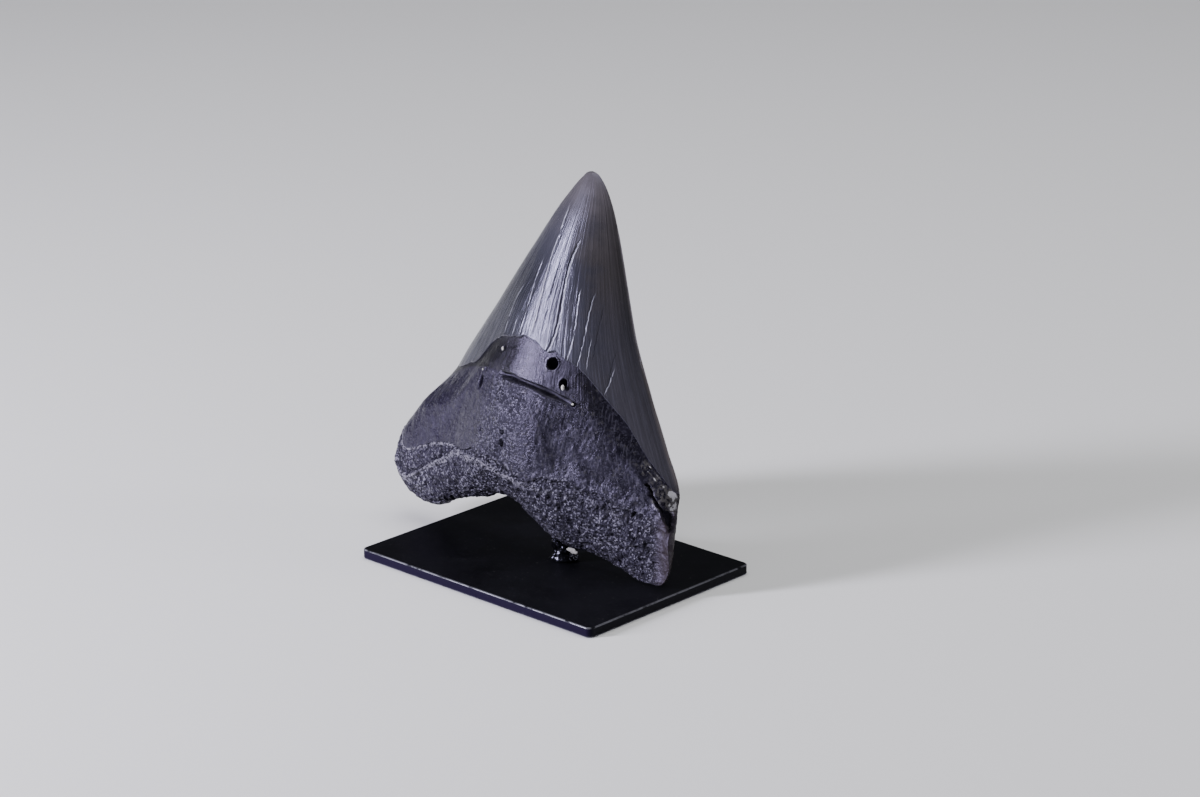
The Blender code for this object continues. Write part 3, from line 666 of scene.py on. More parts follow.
def root_fields(points, plane, s, t, front, rim, dark, pit):
    """Values that the root's finish reads, per point of its grid."""
    x, z = plane[..., 0], plane[..., 2]
    neck = line_at(NECK_LINE, s, front)
    below = (t - neck) * TO_MM + 0.4 * lumps(x, z)
    return {
        # hole, pit and groove mark painted shade in the holes and split, in the pores and pits,
        # and in the neck's groove; crest marks the rim's painted highlight and shade
        "lingual": front * 1.0, "across": s, "down": t, "hole": dark, "pit": pit,
        "rim": rim * (1.0 - 0.8 * smooth(0.84, 0.90, s + 0.02 * lumps(x, z))),
        "crest": np.zeros_like(s),
        "neck": smooth(neck + 0.003, neck - 0.003, t),
        "groove": np.exp(-(((below + 0.7) / 1.2) ** 4)) * groove_reach(s) * front,
        "shoulder": chalk(x, points[..., 1], z, s) * front,
        "stain": smooth(0.83, 0.93, s) * smooth(0.80, 0.88, t),
    }


def root_dentine():
    """Neck and body of the root. Rows run from under the enamel to the neck line and on to the
    ragged foot, above the worn rim, where the surface turns in and a fan closes it. Waves, grain,
    wrinkles, pits, stripes by the shoulder, holes and the split move each point along its
    normal."""
    angle, is_front = column_angles(*BODY_COLUMNS)
    s_row = np.cos(angle)
    enamel = enamel_edge(s_row, is_front)
    neck = line_at(NECK_LINE, s_row, is_front)
    round_tooth = np.stack([s_row * 60.0, np.where(is_front, 0.0, 40.0), s_row * 0.0], -1)
    ragged = clouds(round_tooth, 5.0, 7) + 0.6 * cloud(round_tooth, 1.1, 9)
    ragged = 0.008 * ragged * np.sqrt(np.clip(1.0 - s_row**2, 0.0, 1.0))
    foot = line_at(FOOT_LINE, s_row, is_front) + ragged
    stops = [enamel - 0.022, enamel - 0.002, neck, foot]
    t, front, plane, s, _, normal = root_grid(angle, is_front, stops, BODY_ROWS, 0.0)

    past = t - enamel
    on_root = smooth(0.0, 0.03, past)
    to_foot = (foot - t) * TO_MM
    body = smooth(0.0, 0.02, t - neck)
    nearby = smooth(9.0, 1.0, to_foot) * smooth(-0.5, 0.3, s)
    sparse = smooth(0.60, 0.85, cloud(plane, 2.2, 59)) * body * (0.35 + 0.65 * nearby)
    stripes = np.sin(past * TO_MM * 2.0 * math.pi / STRIPE_PITCH) * smooth(0.86, 0.90, s) * front
    stripes = stripes * smooth(0.95, 0.92, s) * smooth(0.035, 0.02, past)
    holes, dark = drill_holes(plane, front)
    push = on_root * (0.10 * clouds(plane, 7.0, 49) + 0.03 * clouds(plane, 1.3, 41))
    push += 0.045 * body * wrinkles(plane) + 0.14 * nearby * clouds(plane, 1.5, 43)
    push += 0.03 * stripes * on_root - 0.28 * sparse + holes
    push -= 0.22 * (1.0 - quarter(to_foot / 0.35))
    points = plane + normal * push[..., None]
    middle = inner_point(*NECK_CORE)
    tucked = smooth(0.0, -0.02, past)[..., None]
    points = points + (middle - points) * (0.05 * tucked)

    turned_in = [points[-1] - normal[-1] * depth for depth in TURNED_IN]
    rim = 0.55 * nearby * smooth(2.5, 0.3, to_foot) + 0.25 * nearby
    fields = root_fields(points, plane, s, t, front, rim, dark, sparse)
    flat = np.concatenate([points, np.stack(turned_in)]).reshape(-1, 3)
    points = np.concatenate([middle, flat, inner_point(*ROOT_CORE)])
    faces = closed_sheet(len(t) + len(TURNED_IN), len(angle))
    return tooth_mesh("root_dentine", points, faces, per_point(fields, len(TURNED_IN)))


def rim_marks(x, z, front):
    """Pits and raised patches of the worn rim: Gaussian humps turned by their tilt."""
    total = np.zeros_like(x)
    for cx, cz, wide, tall, tilt, height in RIM_MARKS:
        turn = math.radians(tilt)
        aside = (x - cx) * math.cos(turn) + (z - cz) * math.sin(turn)
        upward = (z - cz) * math.cos(turn) - (x - cx) * math.sin(turn)
        total += height * bell(aside, wide) * bell(upward, tall)
    return total * front


def rim_faces(rows, columns):
    """Faces of the worn rim: a fan and a grid, then quads to the shared line of points on the
    lingual side, and faces with more corners on the labial side, whose columns are wider."""
    front_count, back_count = RIM_COLUMNS
    last = 1 + (rows - 1) * columns
    seam = last + columns
    j = np.arange(front_count)
    ahead = np.stack([last + j, seam + j, seam + j + 1, last + j + 1], -1)
    ratio = front_count // back_count
    k = np.arange(back_count)
    chain = [seam + front_count - ratio * k - step for step in range(ratio + 1)]
    next_column = last + (front_count + k + 1) % columns
    behind = np.stack([last + front_count + k, *chain, next_column], -1)
    return [fan(1, columns, 0), quads(rows, columns, 1), ahead, behind]


def worn_rim():
    """Worn spongy bone of the root's rim. Rows run from under the body's foot to the crest and on
    to the rim, where the two faces share one line of points. A recess above the crest, the crest,
    grain of three sizes, pores and single marks move each point along its normal."""
    angle, is_front = column_angles(*RIM_COLUMNS)
    s_row = np.cos(angle)
    foot = line_at(FOOT_LINE, s_row, is_front)
    crest = line_at(CREST_LINE, s_row, is_front)
    stops = [foot - 0.02, foot, crest, np.ones_like(s_row)]
    t, front, plane, s, e, normal = root_grid(angle, is_front, stops, RIM_ROWS, 1.0)
    x, z = plane[..., 0], plane[..., 2]

    past = (t - crest) * TO_MM
    strength = 1.0 - 0.30 * smooth(-0.3, 0.1, s) - 0.45 * smooth(0.15, 0.4, s)
    strength = strength * (0.75 + 0.45 * cloud(plane, 9.0, 95)) * np.minimum(1.0, 2.5 * e)
    push = strength * (0.85 * bell(past - 0.7, 1.0) - 0.75 * bell(past + 1.2, 1.0))
    push += 0.16 * clouds(plane, 4.2, 47)
    push += 0.20 * clouds(plane, 1.5, 41) + 0.09 * cloud(plane, 0.62, 45)
    push += 0.22 * (smooth(0.55, 1.0, 1.0 - np.abs(cloud(plane, 2.1, 97))) - 0.3)
    pores = smooth(0.30, 0.72, cloud(plane, 1.25, 53))
    push = (push - 0.42 * pores) * (1.0 - 0.7 * smooth(0.84, 0.90, s))
    marks = rim_marks(x, z, front)
    holes, dark = drill_holes(plane, front)
    push += marks + holes - 0.5 * smooth(-0.002, -0.012, t - foot)
    points = plane + normal * push[..., None]
    # where painted shade darkens the pores and the sunk marks
    pit = np.clip(pores + np.clip(-marks - 0.15, 0.0, 1.0) * 2.0, 0.0, 1.0)
    fields = root_fields(points, plane, s, t, front, np.ones_like(s), dark, pit)
    # crest field: painted highlight along the crest and the upper ledge, less painted shade in the
    # recess above the crest
    crest_highlight = 1.2 * strength * bell(past - 1.2, 2.0 + 0.8 * cloud(plane, 2.0, 99))
    upper = smooth(-0.30, -0.60, s) * bell((t - foot) * TO_MM - 0.7, 0.8)
    recess = strength * bell(past + 1.2, 0.8)
    fields["crest"] = np.clip((crest_highlight + upper) * front, 0.0, 1.0) - 0.8 * recess * front

    rows = len(t) - 1
    shared = np.arange(RIM_COLUMNS[0] + 1)
    seam_z = z[-1, shared]
    seam_y = ROOT_Y - ROOT_Y_SHIFT * boss_at(s[-1, shared]) + lean(seam_z)
    seam = np.stack([x[-1, shared], seam_y, seam_z], -1)
    seam[:, 2] += 0.20 * (1.0 + clouds(seam, 1.5, 41))
    points = np.concatenate([inner_point(*ROOT_CORE), points[:rows].reshape(-1, 3), seam])
    fields = {
        name: np.r_[grid[0, 0], grid[:rows].ravel(), grid[-1, shared]]
        for name, grid in fields.items()
    }
    return tooth_mesh("worn_rim", points, rim_faces(rows, len(angle)), fields)


# ---- stand
PLATE_LONG = 101.6
PLATE_SHORT = 75.4
PLATE_THICK = 3.4
PLATE_CORNER_R = 2.0
PLATE_EASE = 0.45
POST_X = 4.6
POST_Y = 0.4
MOUND_R = 4.05
MOUND_COLUMNS = 96
MOUND_ROWS = 49


def display_plate():
    """Plate as rings of one outline: a rectangle whose corners are quarter circles. Each ring is
    the outline moved in by an inset at a height; inset and height follow a quarter circle at the
    upper and lower edges, so the edges are eased. A fan closes each face at its middle. A further
    field is 1 on the long sides, where the finish paints a violet sheen."""
    corner = np.linspace(0.0, math.pi / 2, 13)
    turn = np.concatenate([corner + k * math.pi / 2 for k in range(4)])
    sign_x = np.repeat([1.0, -1.0, -1.0, 1.0], 13)
    sign_y = np.repeat([1.0, 1.0, -1.0, -1.0], 13)
    ease = np.linspace(0.0, math.pi / 2, 7)
    inset = np.r_[1.9, PLATE_EASE + 0.02, PLATE_EASE * (1.0 - np.sin(ease)), 0.0]
    rise = np.r_[0.0, 0.0, PLATE_EASE * (1.0 - np.cos(ease)), PLATE_EASE + 0.02]
    insets = np.r_[inset, inset[::-1]]
    heights = np.r_[rise, PLATE_THICK - rise[::-1]]
    keep = PLATE_CORNER_R - insets[:, None]
    x = sign_x * (PLATE_LONG / 2 - PLATE_CORNER_R) + keep * np.cos(turn)
    y = sign_y * (PLATE_SHORT / 2 - PLATE_CORNER_R) + keep * np.sin(turn)
    z = np.broadcast_to(heights[:, None], x.shape)
    points = np.stack([x, y, z], -1).reshape(-1, 3)
    points = np.concatenate([[[0.0, 0.0, 0.0]], points, [[0.0, 0.0, PLATE_THICK]]])
    edge = np.zeros(x.shape)
    edge[3:9] = 1.0
    edge[-9:-3] = 1.0
    # painted sheen on the long side walls
    long_side_sheen = np.zeros(x.shape)
    long_side_sheen[9:11] = np.sin(turn) ** 2
    return build_mesh("display_plate", points, closed_sheet(*x.shape), per_point(
        {"edge": edge, "long_side_sheen": long_side_sheen}, 0))


def under_root(x, y):
    """Height of the underside that the adhesive meets: the lower rim at x, raised towards either
    face as a parabola."""
    rim = along(LOWER_RIM, np.linspace(0.0, 1.0, 400))
    return np.interp(x, rim[:, 0], rim[:, 1]) + 0.055 * (y - 0.2) ** 2


def adhesive_mound():
    """Mound of adhesive: rings round the post whose radius swells at the foot and at the top,
    with beads and runs pushed out of it along each ray by clouds of two sizes."""
    turn = np.linspace(0.0, 2.0 * math.pi, MOUND_COLUMNS + 1)[:-1]
    turn, share = np.meshgrid(turn, np.linspace(0.0, 1.0, MOUND_ROWS))
    low, high = solid_box("adhesive_mound")
    foot = low[2]
    radius = MOUND_R + 0.45 * np.cos(2.0 * math.pi * share) + 0.25 * (1.0 - share)
    radius = radius - 0.9 * (1.0 - quarter(share / 0.10))
    x = POST_X + radius * np.cos(turn)
    y = POST_Y + radius * np.sin(turn)
    z = foot + (np.maximum(under_root(x, y) - 0.15, foot + 2.0) - foot) * share
    points = np.stack([x, y, z], -1)
    swell = 0.5 * cloud(points, 2.4, 71) + 0.35 * cloud(points, 1.2, 73)
    swell += 0.55 * smooth(0.45, 0.8, cloud(points, 1.9, 77))
    points += swell[..., None] * np.stack([np.cos(turn), np.sin(turn), turn * 0.0], -1)
    top = points[-1, :, 2].min()
    flat = points.reshape(-1, 3)
    points = np.concatenate([[[POST_X, POST_Y, foot]], flat, [[POST_X, POST_Y, top]]])
    points = np.clip(points, low + 0.01, high - 0.01)
    return build_mesh("adhesive", points, closed_sheet(*turn.shape))


def pebble(centre, radii, seed, roughness=0.18, rows=15, columns=20):
    """Small irregular grain: an ellipsoid of the given radii, each point moved along its ray by a
    cloud. Returns its points and faces, numbered from 0."""
    turn = np.linspace(0.0, 2.0 * math.pi, columns + 1)[:-1]
    tilt = np.linspace(0.0, math.pi, rows + 1)[1:-1]
    turn, tilt = np.meshgrid(turn, tilt)
    ray = np.stack([np.sin(tilt) * np.cos(turn), np.sin(tilt) * np.sin(turn), np.cos(tilt)], -1)
    ray = np.concatenate([[[0.0, 0.0, 1.0]], ray.reshape(-1, 3), [[0.0, 0.0, -1.0]]])
    size = 1.0 + roughness * clouds(ray + seed * 3.1, 0.9, seed)
    points = np.array(centre) + ray * np.array(radii) * size[:, None]
    return points, closed_sheet(rows - 1, columns)


def gather(name, grains):
    """One mesh of several closed grains."""
    faces = []
    first = 0
    for points, own_faces in grains:
        faces.extend(part + first for part in own_faces)
        first += len(points)
    return build_mesh(name, np.concatenate([points for points, _ in grains]), faces)


def sediment_grains():
    """Pale sediment left in four of the nutrient holes: centre, radii and seed of each grain."""
    return gather("sediment_grains", [
        pebble((5.2, -1.2, 62.2), (0.55, 0.50, 0.95), 3),
        pebble((9.3, -0.9, 57.5), (0.45, 0.40, 0.32), 5),
        pebble((-21.5, -0.9, 69.4), (0.42, 0.35, 0.62), 7),
        pebble((-28.7, -2.9, 61.2), (0.24, 0.25, 0.32), 9),
    ])


def pale_flake():
    """Flat grey flake stuck in the adhesive."""
    return gather("pale_flake", [pebble((12.0, -4.2, 9.3), (2.1, 0.35, 0.8), 13, 0.35, 22, 30)])


# ---- short hands for wiring shaders
class Wire:
    """Output of a shader node. Arithmetic with wires and numbers adds Math nodes."""

    def __init__(self, tree, socket):
        self.tree = tree
        self.socket = socket

    def math(self, operation, a, b=0.0):
        """Wire from a new Math node that works on the two values."""
        return Node(self.tree, "ShaderNodeMath", {"operation": operation}, {0: a, 1: b})[0]

    def __add__(self, other):
        return self.math("ADD", self, other)

    def __sub__(self, other):
        return self.math("SUBTRACT", self, other)

    def __rsub__(self, other):
        return self.math("SUBTRACT", other, self)

    def __mul__(self, other):
        return self.math("MULTIPLY", self, other)

    def __truediv__(self, other):
        return self.math("DIVIDE", self, other)

    def __rtruediv__(self, other):
        return self.math("DIVIDE", other, self)

    def __abs__(self):
        return self.math("ABSOLUTE", self)

    def sine(self):
        return self.math("SINE", self)

    def most(self, other):
        return self.math("MAXIMUM", self, other)

    def least(self, other):
        return self.math("MINIMUM", self, other)

    def ramp(self, low, high, to_low=0.0, to_high=1.0):
        """This value carried smoothly from low..high to to_low..to_high."""
        inputs = {
            "Value": self, "From Min": low, "From Max": high, "To Min": to_low,
            "To Max": to_high,
        }
        settings = {"interpolation_type": "SMOOTHSTEP"}
        return Node(self.tree, "ShaderNodeMapRange", settings, inputs)["Result"]


class Node:
    """New node of a shader tree. Indexing it gives a wire from one of its outputs."""

    def __init__(self, tree, kind, settings, inputs):
        self.tree = tree
        self.made = tree.nodes.new(kind)
        for key, value in settings.items():
            setattr(self.made, key, value)
        fill(self.made.inputs, inputs)

    def __getitem__(self, output):
        return Wire(self.tree, self.made.outputs[output])


def fill(sockets, values):
    """Sets each of the named sockets to its value, or links it to the wire given for it."""
    for label, value in values.items():
        socket = sockets[label]
        if isinstance(value, Wire):
            value.tree.links.new(value.socket, socket)
        elif socket.type == "RGBA":
            socket.default_value = (*value, 1.0)
        else:
            socket.default_value = value


def blend(share, a, b):
    """Colour a share of the way from a to b."""
    return Node(share.tree, "ShaderNodeMix", {"data_type": "RGBA"}, {0: share, 6: a, 7: b})[2]


def layered(base, layers):
    """Base colour with layers over it, each a share and the colour that it goes towards."""
    for share, tone in layers:
        base = blend(share, base, tone)
    return base


def noise(vector, scale, detail=3.0, rough=0.55):
    """Height of a Noise Texture, about 0.5."""
    inputs = {"Vector": vector, "Scale": scale, "Detail": detail, "Roughness": rough}
    return Node(vector.tree, "ShaderNodeTexNoise", {}, inputs)[0]


def bump(height, distance, strength=1.0, under=None):
    """Normal from a height, over another normal if given. The distance is in metres."""
    inputs = {"Height": height, "Distance": distance, "Strength": strength}
    if under:
        inputs["Normal"] = under
    return Node(height.tree, "ShaderNodeBump", {}, inputs)["Normal"]


def place_of(tree):
    """Place on the object."""
    return Node(tree, "ShaderNodeTexCoord", {}, {})["Object"]


def field(tree, name):
    """Named value of the surface."""
    return Node(tree, "ShaderNodeAttribute", {"attribute_name": name}, {})["Fac"]


def use(shared, inputs):
    """A shared group with its own values, in the tree of the wire that comes first in them."""
    tree = next(iter(inputs.values())).tree
    return Node(tree, "ShaderNodeGroup", {"node_tree": shared}, inputs)


# ---- shader groups that several materials share
def group(name, inputs, outputs):
    """Empty shader group with named inputs and their values, None for a vector, and outputs.
    Returns its tree, a wire from each input and the sockets of its outputs."""
    tree = bpy.data.node_groups.new(name, "ShaderNodeTree")
    for label, value in inputs.items():
        kind = "NodeSocketVector" if value is None else "NodeSocketFloat"
        socket = tree.interface.new_socket(label, in_out="INPUT", socket_type=kind)
        if value is not None:
            socket.default_value = value
    for label in outputs:
        tree.interface.new_socket(label, in_out="OUTPUT", socket_type="NodeSocketFloat")
    start = Node(tree, "NodeGroupInput", {}, {})
    return tree, [start[label] for label in inputs], tree.nodes.new("NodeGroupOutput").inputs


def fibre_group():
    """Long fibres that run from root to tip: noise on (across x count, down x stretch), so they
    draw together at the tip as the tooth narrows."""
    inputs = {"Across": 0.0, "Down": 0.0, "Count": 60.0, "Stretch": 3.0, "Seed": 0.0}
    tree, (s, t, count, stretch, seed), end = group("long_fibres", inputs, ["Height"])
    spot = Node(tree, "ShaderNodeCombineXYZ", {}, {0: s * count, 1: t * stretch, 2: seed})[0]
    fill(end, {"Height": noise(spot, 1.0, 4.0, 0.62)})
    return tree


def crack_group():
    """One hairline crack of the enamel, on the same line as the groove in the mesh: X is a cubic
    in w with sines that make it waver. Line is the dark crack, and the second output is a painted
    highlight along the raised lip at one side of it."""
    inputs = {
        "X": 0.0, "Z": 0.0, "A": 0.0, "B": 0.0, "C": 0.0, "D": 0.0, "Low": 0.0, "High": 1.0,
        "Half Width": 0.2, "Side": 0.0,
    }
    tree, wires, end = group("hairline_crack", inputs, ["Line", "Lip Highlight"])
    x, z, a, b, c, d, low, high, half, side = wires
    w = (z - CRACK_MIDDLE) * (1.0 / CRACK_SCALE)
    middle = w * (w * (w * d + c) + b) + a
    for turn, shift, reach in CRACK_WAVES:
        middle = (z * turn + a * shift).sine() * reach + middle
    gap = x - middle
    ends = (z - low).ramp(0.0, 2.0) * (high - z).ramp(0.0, 3.0)
    line = (abs(gap) / half).ramp(1.3, 0.2)
    lip = (abs(gap - half * (side * 2.1)) / half).ramp(1.5, 0.4)
    fill(end, {"Line": line * ends, "Lip Highlight": lip * abs(side) * ends})
    return tree


def mottle_group():
    """Uneven tone: two sizes of noise added, then spread to 0..1."""
    inputs = {"Vector": None, "Scale": 100.0, "Contrast": 0.2}
    tree, (spot, scale, contrast), end = group("mottle", inputs, ["Value"])
    both = noise(spot, scale) * 0.6 + noise(spot, scale * 4.3, 3.0, 0.6) * 0.4
    fill(end, {"Value": both.ramp(0.5 - contrast, contrast + 0.5)})
    return tree


def grain_group():
    """Fine grain: rounded cells of one size with noise of a smaller size on them, as a height,
    and a random tone for each cell."""
    inputs = {"Vector": None, "Scale": 1000.0, "Cells": 0.5}
    tree, (spot, scale, cells), end = group("fine_grain", inputs, ["Height", "Tone"])
    inputs = {"Vector": spot, "Scale": scale, "Detail": 2.0}
    bend = Node(tree, "ShaderNodeTexNoise", {}, inputs)["Color"]
    bend = Node(tree, "ShaderNodeVectorMath", {"operation": "SCALE"}, {
        0: bend, "Scale": 1.2 / scale,
    })[0]
    moved = Node(tree, "ShaderNodeVectorMath", {"operation": "ADD"}, {0: spot, 1: bend})[0]
    cell = Node(tree, "ShaderNodeTexVoronoi", {"feature": "F1"}, {"Vector": moved, "Scale": scale})
    small = noise(spot, scale * 2.2, 4.0, 0.65)
    tone = Node(tree, "ShaderNodeSeparateColor", {}, {0: cell["Color"]})[0]
    fill(end, {"Height": (1.0 - cell["Distance"]) * cells + small, "Tone": tone})
    return tree


def wear_group():
    """Wear along edges: the edge field, broken up by noise."""
    inputs = {"Vector": None, "Edge": 0.0, "Scale": 400.0, "Amount": 0.5}
    tree, (spot, edge, scale, amount), end = group("edge_wear", inputs, ["Mask"])
    low = 1.0 - amount
    fill(end, {"Mask": noise(spot, scale, 4.0, 0.6).ramp(low * 0.8, low + 0.12) * edge})
    return tree


FIBRES = fibre_group()
HAIRLINE = crack_group()
MOTTLE = mottle_group()
GRAIN = grain_group()
WEAR = wear_group()


def mottle(spot, scale, contrast):
    """Uneven tone from 0 to 1."""
    return use(MOTTLE, {"Vector": spot, "Scale": scale, "Contrast": contrast})[0]


def fibre(s, t, count, stretch, seed=0.0):
    """Height of fibres that run from root to tip."""
    inputs = {"Across": s, "Down": t, "Count": count, "Stretch": stretch, "Seed": seed}
    return use(FIBRES, inputs)[0]


def fine_grain(spot, scale, cells):
    """Node with the height and the tone of fine grain."""
    return use(GRAIN, {"Vector": spot, "Scale": scale, "Cells": cells})


def edge_wear(spot, scale, amount):
    """Where the surface's edges are worn, from 0 to 1."""
    inputs = {"Vector": spot, "Edge": field(spot.tree, "edge"), "Scale": scale, "Amount": amount}
    return use(WEAR, inputs)[0]


# ---- finishes
STEEL_BLUE = (0.70, 0.69, 1.0)
ROOT_VIOLET = (0.70, 0.63, 1.0)


def new_material(name, rough, metal=0.0, specular=0.5, tint=(1.0, 1.0, 1.0)):
    """Material, its tree and the sockets of its Principled shader, with the values that are the
    same all over."""
    made = bpy.data.materials.new(name)
    made.use_nodes = True
    shader = made.node_tree.nodes["Principled BSDF"].inputs
    fill(shader, {
        "Roughness": rough, "Metallic": metal, "Specular IOR Level": specular,
        "Specular Tint": tint,
    })
    return made, made.node_tree, shader


def crack_masks(spot, cracks, face):
    """Dark lines of all the cracks of one face, and the painted highlights along the lip of each.
    """
    apart = Node(spot.tree, "ShaderNodeSeparateXYZ", {}, {0: spot})
    x = apart[0] * (1.0 / MM)
    z = apart[2] * (1.0 / MM)
    masks = [
        use(HAIRLINE, {
            "X": x, "Z": z, "A": a, "B": b, "C": c, "D": d, "Low": low, "High": high,
            "Half Width": half, "Side": side,
        })
        for a, b, c, d, low, high, half, _, side in cracks
    ]
    lines, lip_highlights = masks[0]["Line"], masks[0]["Lip Highlight"]
    for mask in masks[1:]:
        lines = lines.most(mask["Line"])
        lip_highlights = lip_highlights.most(mask["Lip Highlight"])
    return lines * face, lip_highlights * face


def enamel_finish():
    """Glossy slate enamel: fibres towards the tip, hairline cracks with a painted highlight along
    one lip of each, warm grey stain down the narrow side, a paler tip, a painted sheen that
    lightens the broad side towards the tip, pale worn cutting edges and a dark line at the
    enamel's foot."""
    made, tree, shader = new_material("enamel", 0.3, specular=0.6, tint=STEEL_BLUE)
    spot = place_of(tree)
    s = field(tree, "across")
    t = field(tree, "down")
    lingual = field(tree, "lingual")
    fibres = fibre(s, t, 30.0, 2.4)
    threads = fibre(s, t, 75.0, 6.0, 7.0)
    tone = mottle(spot, 55.0, 0.15)
    worn = edge_wear(spot, 520.0, 0.66)
    pocks = fine_grain(spot, 1500.0, 0.3)["Height"]
    front_lines, front_lip_highlights = crack_masks(spot, LINGUAL_CRACKS, lingual)
    back_lines, back_lip_highlights = crack_masks(spot, LABIAL_CRACKS, 1.0 - lingual)
    # masks of the painted highlights along the cracks' lips
    lip_highlights = front_lip_highlights.most(back_lip_highlights) * threads.ramp(0.35, 0.55)
    stain = (s + tone * 0.45).ramp(0.40, 1.10) * t.ramp(0.24, 0.44, 0.85, 0.35)
    near_tip = (t - tone * 0.06).ramp(0.22, 0.0)
    base = blend(fibres.ramp(0.36, 0.64), (0.006, 0.006, 0.008), (0.015, 0.015, 0.021))
    base = layered(base, [
        (threads.ramp(0.40, 0.60) * t.ramp(0.24, 0.46) * 0.5, (0.040, 0.041, 0.055)),
        # painted sheen: the broad side lighter towards the tip, standing for a broad soft
        # highlight there
        (t.ramp(0.40, 0.16) * s.ramp(0.35, -0.05) * 0.8, (0.038, 0.038, 0.052)),
        (s.ramp(0.02, 0.35, 0.0, 0.6), (0.034, 0.034, 0.046)),
        (stain, (0.034, 0.030, 0.0285)),
        (near_tip * 0.75, (0.072, 0.064, 0.069)),
        # painted highlight: pale colour along each crack's raised lip, where light catches it
        (lip_highlights * 0.8, (0.30, 0.30, 0.36)),
        (front_lines.most(back_lines) * 0.92, (0.004, 0.004, 0.005)),
        (worn * s.ramp(-0.2, 0.9, 0.35, 0.85), (0.13, 0.112, 0.107)),
        (field(tree, "low") * 0.6, (0.010, 0.009, 0.011)),
    ])
    gloss = threads.ramp(0.3, 0.7, 0.17, 0.29) + stain * 0.10 + near_tip * 0.10
    depth = t.ramp(0.15, 0.42, 0.15, 1.0) * (1.0 - stain * 0.75)
    ridges = bump(fibres * depth, 0.00025, 0.6)
    ridges = bump(threads * depth, 0.00012, 0.7, ridges)
    ridges = bump(pocks, 0.00004, 0.4, ridges)
    fill(shader, {"Base Color": base, "Roughness": gloss, "Normal": ridges})
    return made


